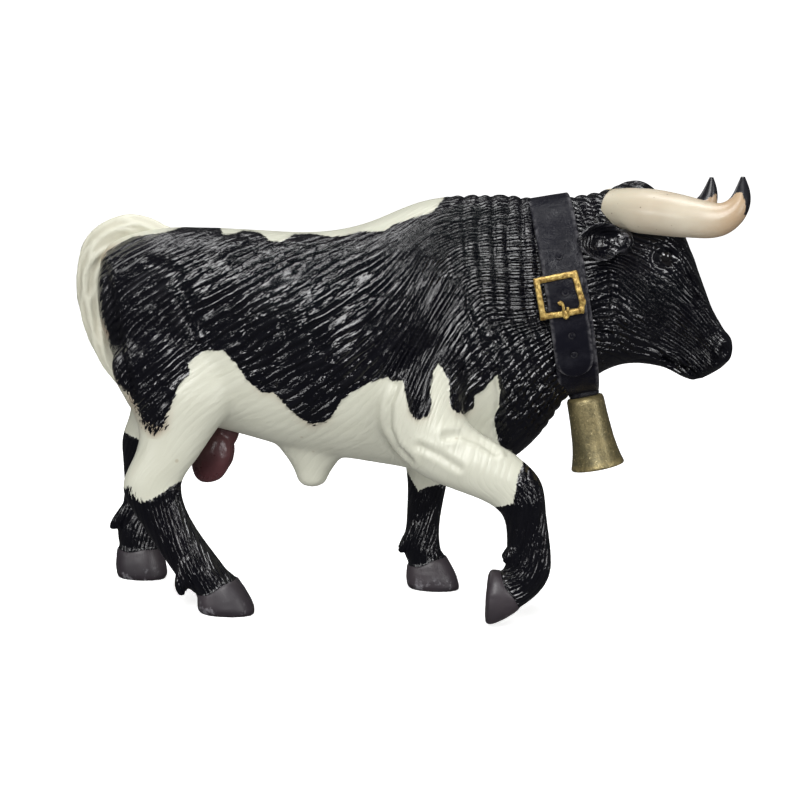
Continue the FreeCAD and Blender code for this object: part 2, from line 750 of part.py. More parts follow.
def bell_loop(strap, bell):
    """The short leather tab between the strap and the bell."""
    tall = hanger_drop + hanger_bite
    tab = Part.makeBox(hanger_depth, hanger_length, tall)
    upright = [edge for edge in tab.Edges if abs(edge.Vertexes[0].Z - edge.Vertexes[1].Z) > 0]
    tab = tab.makeChamfer(hanger_depth / 4, upright)
    side = Vector(0, 1, 0)
    corner = bell_top - side * (hanger_length / 2) - side.cross(bell_down) * (hanger_depth / 2)
    tab = place_on(tab, corner - bell_down * tall, side.cross(bell_down), side)
    return fit(main_solid(tab.cut(strap)), bell, bell_top + bell_down * (bell_crown / 2),
               bell_top - bell_down * overrun, hanger_plug_radius, hanger_plug_length)


def make_pieces():
    pieces = {}
    trunk = main_solid(trunk_form().fuse(sheath_form()))
    trunk = with_bulges(trunk, trunk_point(*shoulder_middle_shares), barrel_width, shoulder_height,
                        shoulder_depth, shoulder_thickness, shoulder_proud, shoulder_lean)
    trunk = with_bulges(trunk, trunk_point(*haunch_middle_shares), barrel_width, haunch_height,
                        haunch_depth, haunch_thickness, haunch_proud, haunch_lean)
    limbs = (
        ("front_left_leg", front_left_shares, forearm_depth, forearm_width, 1, front_left_sole_shares),
        ("front_right_leg", front_right_shares, forearm_depth, forearm_width, -1, front_right_sole_shares),
        ("hind_left_leg", hind_left_shares, thigh_depth, thigh_width, 1, hind_left_sole_shares),
        ("hind_right_leg", hind_right_shares, thigh_depth, thigh_width, -1, hind_right_sole_shares),
    )
    for name, shares, depth, width, side, sole_shares in limbs:
        pieces[name], trunk = leg(shares, depth, width, side, sole_shares, trunk)
    tail, inside, outside = tail_form()
    pieces["tail"], trunk = fit(tail, trunk, inside, outside, tail_plug_radius, tail_plug_length)
    scrotum, inside, outside = scrotum_form()
    pieces["scrotum"], trunk = fit(scrotum, trunk, inside, outside, scrotum_plug_radius, scrotum_plug_length)

    head = with_bulges(head_form(), head_point(*cheek_middle_shares), head_width, cheek_height, cheek_depth,
                       cheek_thickness, cheek_proud, cheek_lean)
    head = with_face(head)
    horn, horn_inside, horn_outside = horn_form()
    ear, ear_inside, ear_outside = ear_form()
    for name, piece, inside, outside, radius, length in (
            ("horn", horn, horn_inside, horn_outside, horn_plug_radius, horn_plug_length),
            ("ear", ear, ear_inside, ear_outside, ear_plug_radius, ear_plug_length)):
        pieces["left_" + name], head = fit(piece, head, inside, outside, radius, length)
        right_inside = Vector(inside.x, -inside.y, inside.z)
        right_outside = Vector(outside.x, -outside.y, outside.z)
        mirror = mirrored(piece)
        pieces["right_" + name], head = fit(mirror, head, right_inside, right_outside, radius, length)
    strap = collar_strap(trunk, head)
    plug = neck_oval(head_plug_height, head_plug_width, -head_plug_length, head_plug_length + overrun)
    socket = neck_oval(head_plug_height + 2 * plug_clearance, head_plug_width + 2 * plug_clearance,
                       -head_plug_length - plug_end_gap, head_plug_length + plug_end_gap + overrun)
    pieces["head"] = main_solid(head.fuse(plug))
    pieces["trunk"] = main_solid(trunk.cut(socket))
    pieces["collar_strap"] = strap
    pieces["buckle_frame"] = buckle_frame(strap)
    pieces["buckle_prong"] = buckle_prong(strap, pieces["buckle_frame"])
    pieces["bell_loop"], pieces["bell"] = bell_loop(strap, bell_form())
    return pieces


def write_pieces(pieces):
    """Centres the figure over the origin and writes one file per piece."""
    os.makedirs("parts", exist_ok=True)
    whole = FreeCAD.BoundBox()
    for shape in pieces.values():
        whole.add(shape.optimalBoundingBox(False, False))
    shift = Vector(-(whole.XMin + whole.XMax) / 2, -(whole.YMin + whole.YMax) / 2, 0)
    print("shift", tuple(round(value, 3) for value in shift))
    print("size", tuple(round(value, 2) for value in (whole.XLength, whole.YLength, whole.ZMin, whole.ZMax)))
    for name, shape in pieces.items():
        shape.translate(shift)
        shape.exportStep(f"parts/{name}.step")
        print(name, shape.isValid(), len(shape.Solids), round(shape.Volume, 1))


write_pieces(make_pieces())
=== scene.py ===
"""The finish of a moulded and painted ox figure: hide, head, horns, ears, tail, collar, bell and stage.

Shapes are worked out in millimetres in the figure's design frame, +X ahead, +Y to its left, +Z up, and are
moved by FIGURE_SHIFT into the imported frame, in metres, when a mesh is made. Places with the names u and v are
pixels of the picture that the figure was measured in, 800 by 800, as the stage's camera sees it.
"""
import math

import bpy
import numpy as np
from mathutils import Matrix, Vector
from mathutils.bvhtree import BVHTree


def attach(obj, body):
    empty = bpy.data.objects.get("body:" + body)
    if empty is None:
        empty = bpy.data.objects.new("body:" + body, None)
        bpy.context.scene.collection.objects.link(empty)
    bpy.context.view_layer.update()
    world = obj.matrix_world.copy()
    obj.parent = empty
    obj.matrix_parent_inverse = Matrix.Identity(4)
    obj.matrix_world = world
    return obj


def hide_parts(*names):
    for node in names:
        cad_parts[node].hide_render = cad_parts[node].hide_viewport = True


bl_info = {
    "name": "Ox figurine",
    "version": (1, 0, 0),
    "blender": (4, 5, 0),
    "location": "3D View > Sidebar > Ox",
    "description": "Builds the painted finish of a moulded ox figure around its packed model",
    "category": "Object",
}

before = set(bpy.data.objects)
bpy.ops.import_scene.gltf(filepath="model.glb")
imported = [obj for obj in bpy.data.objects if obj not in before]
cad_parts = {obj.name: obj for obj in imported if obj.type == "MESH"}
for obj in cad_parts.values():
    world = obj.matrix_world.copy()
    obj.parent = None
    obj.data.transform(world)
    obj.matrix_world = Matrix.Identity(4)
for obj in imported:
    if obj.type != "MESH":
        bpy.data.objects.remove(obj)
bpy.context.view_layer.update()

MM = 0.001
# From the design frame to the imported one, in millimetres
FIGURE_SHIFT = np.array((-0.384, 0.956, 0.0))

# The camera: where it stands, how far it looks down, how far it is turned, and pixels to a unit of slope
CAMERA_PLACE = np.array((0.0, -400.0, 94.6))
CAMERA_PITCH = 6.9
CAMERA_ROLL = 2.2
CAMERA_REACH = 1799.8
PICTURE_MIDDLE = 400.0
SENSOR_MM = 36.0
# Pixels of the picture to a millimetre on the figure's near side
PIXELS_PER_MM = 4.467

# Trunk, rump to neck: top x, top z, low x, low z, width, how much narrower the low side is, and squareness
TRUNK_ROWS = [
    (-67.6, 74.5, -67.8, 66.0, 5.0, 0.00, 1.00),
    (-66.2, 78.0, -66.6, 60.0, 14.0, 0.00, 0.95),
    (-62.6, 80.4, -63.2, 52.5, 21.0, -0.05, 0.88),
    (-56.5, 82.2, -57.0, 46.0, 27.0, 0.00, 0.82),
    (-47.0, 82.9, -47.4, 40.6, 33.0, 0.02, 0.82),
    (-36.0, 83.0, -36.6, 37.8, 36.6, 0.05, 0.88),
    (-22.0, 82.9, -22.4, 34.3, 39.6, 0.06, 0.96),
    (-8.5, 85.6, -8.0, 32.4, 40.8, 0.08, 1.00),
    (1.1, 89.9, 3.0, 30.9, 39.6, 0.14, 1.00),
    (9.0, 91.9, 13.3, 29.9, 37.0, 0.27, 1.00),
    (17.5, 92.4, 24.4, 33.3, 33.2, 0.33, 1.00),
    (23.9, 92.4, 32.8, 41.5, 29.4, 0.23, 1.00),
    (26.8, 92.0, 36.5, 47.5, 27.6, 0.09, 1.00),
    (31.0, 91.8, 39.4, 50.2, 27.0, 0.00, 1.00),
]
# Sheath, downwards, with the columns of the limbs
SHEATH_ROWS = [(-19.0, 0.0, 37.0, 0, 20.0, 14.0), (-19.0, 0.0, 33.2, 0, 13.4, 10.4),
               (-19.0, 0.0, 30.2, 0, 9.2, 8.0), (-19.1, 0.0, 27.8, 0, 7.0, 6.4),
               (-19.1, 0.0, 26.3, 0, 4.6, 4.4), (-19.1, 0.0, 25.7, 0, 1.6, 1.6)]

# Limbs, from inside the trunk to the coronet: x, y, z, lean in degrees, depth front to back, width
LIMB_ROWS = {
    "hind_right_leg": [
        (-50.0, -7.0, 66.0, 16, 21.0, 12.0), (-50.0, -8.6, 60.0, 12, 24.2, 15.4),
        (-49.7, -10.4, 54.0, 4, 26.6, 17.2), (-48.3, -12.4, 46.5, -3, 24.4, 16.0),
        (-48.2, -13.7, 39.6, -3, 16.6, 12.2), (-50.4, -14.9, 33.2, 0, 13.8, 9.2),
        (-52.9, -15.4, 27.4, 6, 12.9, 8.0), (-51.1, -15.5, 22.0, 10, 11.1, 7.1),
        (-48.0, -15.7, 17.0, 18, 10.0, 6.6), (-44.3, -15.8, 12.0, 22, 9.9, 7.0),
        (-41.0, -16.0, 8.0, 24, 9.7, 7.6), (-38.6, -16.0, 5.8, 26, 8.8, 7.8)],
    "hind_left_leg": [
        (-51.0, 7.0, 66.0, 14, 21.0, 12.0), (-51.0, 8.6, 60.0, 10, 24.2, 15.4),
        (-51.0, 10.4, 54.0, 2, 26.6, 17.2), (-51.5, 12.4, 46.5, -6, 24.8, 16.0),
        (-53.6, 14.1, 39.0, -7, 17.9, 11.4), (-57.3, 14.9, 33.0, -4, 14.2, 9.0),
        (-58.2, 15.4, 27.7, -3, 12.0, 7.9), (-58.8, 15.7, 21.8, -3, 10.0, 7.0),
        (-59.4, 15.8, 16.0, 0, 9.6, 6.6), (-60.0, 16.0, 11.0, 0, 10.2, 7.4), (-59.6, 16.0, 7.0, 4, 9.6, 7.8)],
    "front_right_leg": [
        (5.0, -8.6, 65.0, 3, 17.0, 10.0), (4.6, -11.0, 58.0, 8, 19.6, 13.6),
        (4.2, -13.6, 49.6, 14, 20.4, 15.2), (8.4, -16.6, 39.4, 42, 16.2, 13.8),
        (16.6, -18.9, 35.0, 60, 13.2, 11.2), (24.0, -20.0, 31.4, 54, 11.8, 9.8),
        (26.8, -20.3, 28.4, 36, 10.9, 9.2), (27.8, -20.3, 24.8, 24, 9.4, 8.1),
        (28.5, -20.3, 20.0, 10, 9.2, 7.4), (28.9, -20.2, 16.1, -2, 9.6, 7.5),
        (28.7, -20.0, 12.7, -12, 9.8, 8.0), (27.0, -19.8, 9.8, -30, 9.2, 7.9),
        (24.6, -19.8, 7.9, -46, 8.8, 8.0)],
    "front_left_leg": [
        (4.0, 8.6, 65.0, 3, 17.0, 10.0), (4.0, 11.0, 56.0, 3, 19.0, 13.4), (3.8, 13.0, 47.8, 3, 18.4, 14.4),
        (6.1, 14.7, 38.1, 2, 13.8, 11.9), (7.1, 16.0, 30.0, 0, 11.0, 9.4), (7.1, 16.0, 25.0, 0, 9.4, 8.7),
        (6.7, 16.0, 19.0, 0, 8.2, 7.2), (6.4, 16.0, 13.5, 0, 8.0, 7.1), (6.4, 16.0, 9.7, 0, 8.8, 7.7),
        (7.3, 16.0, 6.9, 6, 8.4, 7.8)],
}
# Dewclaws, from inside the leg to the tip: x, z and radius
DEWCLAWS = {"hind_right_leg": [(-44.4, 12.0, 1.8), (-45.6, 7.4, 1.7), (-45.9, 5.2, 1.2), (-45.5, 3.8, 0.6)],
            "hind_left_leg": [(-61.2, 18.4, 1.8), (-64.0, 14.4, 1.7), (-65.6, 12.6, 1.2), (-66.5, 11.6, 0.6)],
            "front_right_leg": [(28.0, 20.0, 1.8), (26.0, 17.0, 1.7), (24.4, 15.6, 1.2), (23.3, 14.9, 0.6)],
            "front_left_leg": [(5.4, 15.4, 1.8), (3.4, 11.4, 1.6), (2.0, 9.6, 1.1), (1.2, 8.6, 0.6)]}
# Hooves: coronet x, z, lean and depth, then sole x, z, lean and length
HOOVES = {"hind_right_leg": (-38.1, 5.7, 27, 9.1, -35.6, 0.0, 0, 12.0),
          "hind_left_leg": (-60.0, 6.8, 4, 9.9, -59.0, 0.0, 0, 11.6),
          "front_right_leg": (24.9, 8.4, -58, 9.1, 20.5, 6.1, -92, 11.2),
          "front_left_leg": (7.7, 6.4, 17, 9.1, 9.8, 0.0, 0, 12.2)}
# A hoof's rings: how far down from the coronet to the sole, and how large
HOOF_STEPS = ((-0.3, 0.80), (0.0, 1.00), (0.2, 1.03), (0.45, 1.05), (0.7, 1.04), (0.88, 1.0), (1.0, 0.92))
# How far from the middle of its sole a hoof can reach; the hide beyond it has the value BARE
HOOF_REACH = 10.5
BARE = -5.0
# Below these heights the hair runs down the limb; the lifted limb has its own
SHANK_TOP = 36.0
LIFTED_SHANK_TOP = 31.0
# The stockings' outlines hold below these heights, and on the lifted limb ahead of the last number
STOCKING_TOP = 38.0
FAR_STOCKING_TOP = 44.0
LIFTED_FOREARM = 17.0

# Head, collar to nose: top x, top z, low x, low z, width, taper of the low side, squareness
HEAD_ROWS = [
    (31.0, 91.8, 39.4, 50.2, 27.0, 0.00, 1.00),
    (35.0, 92.6, 43.4, 53.4, 26.4, 0.10, 1.00),
    (40.1, 93.6, 47.5, 55.6, 25.4, 0.20, 0.96),
    (45.5, 94.8, 51.0, 56.5, 24.4, 0.28, 0.92),
    (51.1, 95.8, 54.8, 56.7, 23.4, 0.36, 0.88),
    (55.8, 93.6, 58.4, 56.0, 21.6, 0.42, 0.88),
    (60.0, 88.0, 61.6, 54.5, 19.6, 0.40, 0.88),
    (63.4, 81.0, 64.4, 53.3, 17.2, 0.32, 0.90),
    (66.2, 74.4, 66.8, 53.5, 14.8, 0.20, 0.92),
    (68.8, 68.9, 68.8, 54.7, 13.8, 0.08, 0.92),
    (71.4, 64.6, 70.8, 56.0, 12.4, 0.06, 0.92),
    (73.0, 61.6, 72.4, 57.6, 8.0, 0.00, 1.00),
]
# Forms laid on the head: middle, half sizes, and whether there is one on each side
HEAD_FORMS = [
    ((67.8, 4.2, 62.0), (4.8, 3.0, 3.6), True),
    ((64.6, 0.0, 56.4), (4.4, 4.6, 2.8), False),
]
# Left horn and tail, from inside the body to the tip: x, y, z and radius
HORN_ROWS = [(45.4, 5.0, 90.6, 4.4), (48.8, 9.0, 90.5, 4.75), (55.0, 13.5, 90.1, 4.75),
             (61.4, 17.8, 89.3, 4.1), (66.6, 20.0, 89.8, 3.35), (69.3, 20.4, 92.6, 2.4),
             (70.0, 20.0, 95.8, 1.5), (70.0, 19.6, 98.4, 0.45)]
TAIL_ROWS = [(-50.0, 0.0, 79.6, 1.8), (-55.5, 0.0, 81.6, 2.4), (-60.5, 0.0, 82.4, 2.8),
             (-65.6, 0.1, 80.4, 3.2), (-69.0, 0.2, 75.6, 3.2), (-70.0, 0.4, 69.6, 2.9),
             (-69.4, 0.6, 63.4, 2.7), (-67.4, 0.7, 57.0, 2.4), (-65.0, 0.7, 51.6, 1.8),
             (-63.0, 0.6, 47.4, 0.6)]
# The ears: root, how the left one runs and faces, its length, and half its breadth from root to tip
EAR_ROOT = np.array((46.4, 11.4, 83.6))
EAR_AHEAD = np.array((-0.90, 0.43, 0.02))
EAR_FACING = np.array((0.43, 0.90, -0.05))
EAR_LENGTH = 11.2
EAR_STRETCH = np.linspace(0, 1, 45)
EAR_BREADTH = np.interp(EAR_STRETCH, (0, 0.12, 0.3, 0.5, 0.7, 0.86, 0.95, 1.0),
                        (1.6, 2.6, 3.9, 4.3, 3.7, 2.4, 1.3, 0.3))
# The eyes: x and z, how far the ball's middle lies in, half sizes and turn
EYE_PLACE = (56.3, 80.8)
EYE_SINK = 1.15
EYE_SIZE = (2.15, 1.9, 1.75)
EYE_TURN = -25.0
# Lids and nostril: place in the picture, and rings of radius, breadth and height round it
EYE_SPOT = (666.0, 258.0)
EYE_RINGS = [(0.0, 0.75, -0.9), (1.05, 0.24, 0.42), (1.65, 0.22, 0.15), (2.15, 0.22, 0.10)]
NOSTRIL_SPOT = (724.0, 351.0)
NOSTRIL_RINGS = [(0.0, 0.8, -1.1), (1.4, 0.4, 0.3)]

# The neck's slice under the collar: middle, lean in degrees, height and width
NECK_MIDDLE = np.array((35.19, 0.0, 71.02))
NECK_LEAN = 11.5
NECK_HEIGHT = 42.4
NECK_WIDTH = 27.0
# Heights, and how far ahead the folds across the neck lie there
NECK_SWEEP = (36, 42, 48, 56, 68, 85), (20.0, 16.0, 11.0, 6.5, 1.5, 0.0)

# The strap's free end: its start and end above the neck's middle, its thickness, and how far it is shifted
TONGUE_START = 4.4
TONGUE_END = -15.8
TONGUE_THICK = 0.75
TONGUE_SHIFT = -0.45
HOLE_HEIGHTS = (8.9, 1.5, -7.2, -11.2)
# The buckle: its frame's corners and the line of its prong, as x and z
FRAME_CORNERS = [(28.15, 74.75), (36.15, 76.6), (38.15, 70.6), (37.95, 68.8), (29.9, 67.1)]
PRONG_LINE = [(32.9, 70.1), (33.4, 70.5), (33.9, 70.0), (34.1, 68.8), (34.3, 67.6), (34.8, 67.1),
              (35.2, 67.6), (35.1, 68.6), (35.0, 69.5)]

# The bell: its lean in degrees, the middle of its crown, and how far down its lip is
BELL_LEAN = 13.6
BELL_TOP = np.array((41.2, 0.0, 48.8))
BELL_LIP = 16.1
# The bell's outside, from its crown to its lip: how far down and how wide, then the inside back up
BELL_PROFILE = [(0.0, 0.05), (0.0, 2.4), (0.06, 3.3), (0.35, 3.9), (0.9, 4.15), (3.0, 4.25), (6.5, 4.42),
                (10.0, 4.72), (12.6, 5.15), (14.6, 5.60), (15.7, 5.94), (16.1, 5.99), (16.3, 5.86),
                (16.3, 5.42), (16.1, 5.20), (15.0, 4.90), (12.6, 4.38), (9.0, 3.80), (5.0, 3.45),
                (2.6, 3.20), (2.05, 2.70), (2.0, 0.05)]
# The bell's loop: lift over the crown, and size
LOOP_STEPS = ((-0.15, 0.94), (0.25, 1.04), (0.7, 1.0), (1.3, 0.95), (2.2, 0.9))

# Muscles and hollows: middle, radii, and height outwards; each is on both sides
BODY_SWELLS = [
    ((-50.0, 15.0, 64.0), (10.0, 9.0, 12.0), 1.0),
    ((-37.0, 15.0, 49.0), (5.0, 6.0, 6.0), 0.6),
    ((-38.0, 13.0, 79.0), (4.5, 5.0, 3.5), 0.7),
    ((-29.0, 19.0, 56.0), (4.5, 8.0, 9.0), -1.0),
    ((6.0, 17.0, 68.0), (7.0, 7.0, 13.0), 1.1),
    ((-1.0, 18.0, 49.0), (6.0, 6.0, 5.0), 0.9),
    ((-9.0, 19.0, 62.0), (4.0, 7.0, 14.0), -0.5),
    ((16.0, 16.0, 62.0), (4.0, 8.0, 12.0), -0.5),
]
HEAD_SWELLS = [
    ((51.5, 13.0, 66.0), (7.5, 8.0, 8.5), 1.3),
    ((57.6, 9.0, 85.2), (4.2, 5.0, 2.4), 1.0),
    ((56.3, 11.0, 80.8), (3.4, 5.0, 2.6), -0.7),
    ((61.0, 8.5, 70.0), (4.5, 6.0, 5.0), -0.7),
    ((56.0, 6.0, 57.5), (5.0, 5.0, 3.0), 0.5),
    ((70.6, 6.5, 61.0), (2.6, 3.0, 3.4), 0.9),
    ((49.5, 0.0, 96.0), (5.0, 7.0, 4.0), 1.2),
]
# Creases as lines in the picture: depth, half width, and the places they go through
BODY_CREASES = [
    (0.50, 0.7, [(177, 300), (184, 316), (192, 332)]),
    (0.60, 1.1, [(104, 268), (110, 300), (118, 345), (130, 392)]),
    (0.70, 0.8, [(397, 384), (389, 404), (388, 427), (395, 446), (410, 462)]),
    (0.50, 0.8, [(419, 446), (440, 456), (459, 468)]),
    (0.60, 0.9, [(446, 436), (462, 434), (480, 441), (496, 452)]),
    (0.60, 0.9, [(498, 372), (500, 400), (498, 430), (508, 452)]),
    (0.25, 1.2, [(150, 262), (178, 272), (186, 300)]),
]
HEAD_CREASES = [
    (0.50, 0.6, [(611, 273), (614, 290), (612, 306)]),
    (0.45, 0.8, [(587, 321), (598, 330), (608, 335)]),
    (0.90, 0.5, [(697, 377), (690, 370), (676, 366), (664, 358)]),
    (0.35, 0.6, [(676, 263), (690, 280), (700, 300)]),
    (0.45, 0.5, [(719, 343), (714, 352), (716, 362)]),
]

# The black coat's outline in the picture, clockwise from the rump's top, with the head and the neck inside it
BLACK_COAT = [
    (108, 251), (133, 237), (167, 232), (190, 224), (196, 200), (220, 200), (219, 225), (223, 234),
    (232, 234), (244, 230), (259, 232), (270, 241), (280, 242), (295, 234), (314, 234), (332, 237),
    (347, 235), (360, 232), (384, 231), (393, 225), (412, 218), (431, 213), (437, 207), (444, 198),
    (448, 180), (460, 140), (820, 140), (820, 500), (560, 520), (540, 480), (522, 463), (512, 452),
    (500, 446), (496, 432), (494, 419), (499, 406), (500, 388), (497, 375), (492, 380), (487, 387),
    (475, 396), (473, 408), (464, 414), (456, 413), (450, 404), (449, 381), (443, 369), (438, 363),
    (434, 371), (430, 390), (432, 404), (428, 417), (417, 420), (410, 413), (406, 396), (403, 380),
    (393, 382), (387, 377), (368, 383), (349, 394), (341, 400), (335, 411), (328, 421), (312, 425),
    (301, 419), (288, 408), (276, 394), (261, 392), (246, 379), (236, 364), (223, 350), (202, 351),
    (188, 364), (190, 373), (179, 385), (175, 396), (168, 410), (165, 427), (154, 434), (142, 421),
    (136, 406), (127, 392), (115, 381), (110, 364), (108, 333), (96, 310), (94, 289), (97, 268),
]
# Where each stocking begins, with the ground below it
STOCKINGS = {
    "hind_right_leg": [(110, 478), (123, 486), (130, 492), (136, 498), (143, 502), (149, 501), (161, 494),
                       (170, 487), (179, 482), (200, 474), (270, 640), (110, 640)],
    "hind_left_leg": [(90, 428), (112, 424), (126, 433), (140, 440), (170, 430), (200, 640), (90, 640)],
    "front_right_leg": [(524, 455), (523, 464), (518, 476), (515, 492), (513, 504), (496, 507), (470, 515),
                        (470, 650), (600, 650), (600, 440)],
    "front_left_leg": [(390, 462), (408, 473), (418, 491), (426, 487), (444, 484), (460, 480), (460, 640),
                       (390, 640)],
}
# Where the coat's edge is brushed out or sprayed brown: u, v, reach, brushed, sprayed
EDGE_SPOTS = [(153, 430, 22, 1.0, 0.8), (130, 405, 18, 0.6, 0.8), (112, 372, 20, 0.4, 0.9),
              (104, 330, 22, 0.25, 1.0), (95, 290, 26, 0.2, 1.0), (104, 256, 18, 0.15, 0.9),
              (134, 494, 16, 0.7, 0.0), (166, 420, 14, 0.6, 0.4), (270, 396, 18, 0.2, 0.3),
              (312, 424, 20, 0.15, 0.4), (418, 418, 14, 0.2, 0.3), (462, 412, 14, 0.2, 0.3)]
# Where the black is made grey, partly as rubbed wear and partly as painted highlight on the ridge tops: u, v,
# reach ahead, reach up, and how much
WEAR_AND_HIGHLIGHT_SPOTS = [(165, 245, 55, 11, 0.5), (150, 285, 28, 16, 0.8), (108, 292, 7, 28, 0.6),
              (270, 243, 60, 8, 0.5), (278, 295, 38, 25, 0.45), (178, 325, 6, 18, 0.7),
              (116, 372, 7, 25, 0.4), (400, 246, 30, 12, 0.4), (425, 300, 36, 45, 0.1),
              (470, 240, 30, 30, 0.1), (650, 250, 30, 14, 0.25)]

# Which way the hair lies: u, v, degrees up to the right, and how long its grooves are
BODY_LAY = [
    (110, 262, 22, 4), (150, 246, 14, 4), (200, 238, 9, 4), (105, 300, 62, 3), (112, 340, 60, 3),
    (120, 380, 50, 3), (140, 280, 38, 3.5), (160, 300, 40, 3.5), (175, 320, 38, 3.5), (150, 330, 38, 3.5),
    (140, 360, 33, 3.5), (165, 370, 32, 3.5), (150, 400, 38, 4), (150, 425, 42, 4), (185, 345, 30, 3.5),
    (180, 410, 38, 7), (160, 450, 44, 7), (140, 470, 50, 6), (200, 380, 35, 7), (190, 440, 48, 7),
    (175, 470, 58, 6), (210, 260, 16, 7), (215, 300, 32, 7), (210, 330, 36, 7), (240, 280, 27, 8),
    (260, 260, 20, 8), (280, 290, 25, 9), (300, 310, 26, 9), (250, 320, 29, 9), (240, 345, 29, 8),
    (320, 280, 24, 9), (330, 330, 27, 9), (340, 370, 28, 8), (300, 360, 27, 8), (290, 390, 26, 7),
    (320, 410, 28, 6), (350, 300, 30, 8), (360, 350, 33, 7), (370, 320, 36, 7), (240, 238, 6, 5),
    (300, 242, 5, 5), (350, 245, 9, 5), (380, 245, 18, 5), (410, 225, 16, 4), (225, 365, 33, 8),
    (240, 390, 20, 9), (260, 410, 8, 9), (290, 425, 12, 9), (320, 440, 20, 9), (350, 430, 28, 8),
    (375, 410, 36, 8), (360, 455, 15, 9), (310, 465, 60, 5), (270, 430, 9, 8), (385, 300, 42, 5),
    (390, 340, 48, 5), (400, 270, 50, 5), (420, 260, 60, 4.5), (420, 310, 58, 5), (430, 340, 56, 5),
    (410, 370, 60, 5), (445, 330, 52, 5), (440, 290, 58, 5), (460, 350, 50, 5), (470, 320, 42, 4),
    (480, 345, 50, 4), (455, 380, 55, 4), (480, 380, 50, 4), (400, 395, 56, 5), (430, 395, 72, 5),
    (420, 235, 28, 4), (450, 230, 8, 3), (460, 210, -4, 3), (450, 260, 30, 3), (475, 250, -8, 2),
    (500, 250, -10, 1.6), (500, 300, -12, 1.6), (400, 430, 70, 6), (430, 450, 80, 7), (460, 470, 95, 7),
    (480, 450, 100, 7), (500, 480, 100, 6), (450, 440, 92, 6), (410, 410, 66, 6), (480, 420, 80, 5),
    (495, 400, 70, 4), (505, 420, 65, 4), (520, 440, 55, 4), (540, 420, 55, 4), (520, 400, 70, 3),
    (550, 400, 60, 3),
]
HEAD_LAY = [
    (600, 220, -10, 1.6), (620, 250, -30, 2), (640, 240, -20, 2), (680, 235, -50, 2), (700, 270, -70, 2.5),
    (655, 250, -20, 2), (630, 275, -50, 2), (605, 290, 30, 1.6), (600, 310, 25, 1.6), (625, 300, -35, 3),
    (650, 290, -40, 3), (640, 320, -30, 3), (610, 345, -12, 5), (640, 350, -6, 5), (665, 330, -32, 3.5),
    (680, 300, -45, 3), (690, 330, -45, 3.5), (700, 320, -55, 3), (710, 340, -60, 2), (685, 355, -30, 3),
    (670, 362, -15, 4), (650, 362, 0, 4), (700, 360, -40, 2),
]

# The picture's grid on which the comb is worked out: first place, step and size
COMB_START = (60.0, 140.0)
COMB_STEP = 6.0
COMB_SIZE = (124, 88)

# The stage, in metres: the floor's line from front to back, as y and z
FLOOR_LINE = ((-6.0, 0.0), (0.9, 0.0), (1.05, 0.02), (1.22, 0.10), (1.35, 0.26), (1.42, 0.5), (1.45, 1.6))
# Lights: name, place, aim, width, depth and power
LIGHTS = [
    ("key", (-0.06, -0.54, 0.38), (0.0, 0.0, 0.06), 0.28, 0.42, 4.0),
    ("right", (0.46, -0.40, 0.14), (0.0, 0.0, 0.05), 0.18, 0.22, 0.9),
    ("left", (-0.46, -0.40, 0.10), (0.0, 0.0, 0.05), 0.16, 0.14, 0.6),
    ("low", (0.0, -0.12, 0.001), (0.0, -0.12, 0.5), 0.50, 0.36, 0.32),
    ("top", (0.0, 0.02, 0.80), (0.0, 0.0, 0.05), 0.50, 0.30, 3.9),
    ("back", (-0.5, 0.6, 0.5), (0.0, 0.0, 0.05), 0.40, 0.40, 1.2),
]


def photo_axes():
    """Right, up and ahead of the camera that the figure was measured with."""
    pitch = math.radians(CAMERA_PITCH)
    roll = math.radians(CAMERA_ROLL)
    ahead = np.array((0.0, math.cos(pitch), -math.sin(pitch)))
    level = np.array((1.0, 0.0, 0.0))
    over = np.cross(level, ahead)
    right = level * math.cos(roll) + over * math.sin(roll)
    up = over * math.cos(roll) - level * math.sin(roll)
    return right, up, ahead


def photo_places(points):
    """Where points show in the picture."""
    right, up, ahead = photo_axes()
    away = points - CAMERA_PLACE
    depth = away @ ahead
    u = PICTURE_MIDDLE + CAMERA_REACH * (away @ right) / depth
    v = PICTURE_MIDDLE - CAMERA_REACH * (away @ up) / depth
    return np.stack((u, v), axis=1)


def near_side(points):
    """The points with those of the left side mirrored to the right, which the picture shows."""
    return points * (1, 0, 1) + np.stack((0 * points[:, 1], -np.abs(points[:, 1]), 0 * points[:, 1]), axis=1)


def splined(rows, count):
    """Rows of numbers with smooth ones between them, evenly spaced, count in all."""
    rows = np.array(rows, float)
    steps = np.maximum(np.linalg.norm(np.diff(rows[:, :3], axis=0), axis=1), 0.01)
    times = np.concatenate(([0.0], np.cumsum(steps)))
    last = len(rows) - 1
    system = np.eye(len(rows))
    right = np.zeros(rows.shape)
    for i in range(1, last):
        system[i, i - 1:i + 2] = steps[i - 1], 2 * (steps[i - 1] + steps[i]), steps[i]
        right[i] = 6 * ((rows[i + 1] - rows[i]) / steps[i] - (rows[i] - rows[i - 1]) / steps[i - 1])
    bend = np.linalg.solve(system, right)
    moments = np.linspace(0, times[-1], count)
    k = np.clip(np.searchsorted(times, moments, side="right") - 1, 0, last - 1)
    after = (moments - times[k])[:, None]
    gap = steps[k][:, None]
    before = gap - after
    curve = (bend[k] * before ** 3 + bend[k + 1] * after ** 3) / (6 * gap)
    curve = curve + (rows[k] / gap - bend[k] * gap / 6) * before
    return curve + (rows[k + 1] / gap - bend[k + 1] * gap / 6) * after


def slope(degrees):
    """The unit direction at an angle in the side view."""
    return np.array((math.cos(math.radians(degrees)), 0.0, math.sin(math.radians(degrees))))


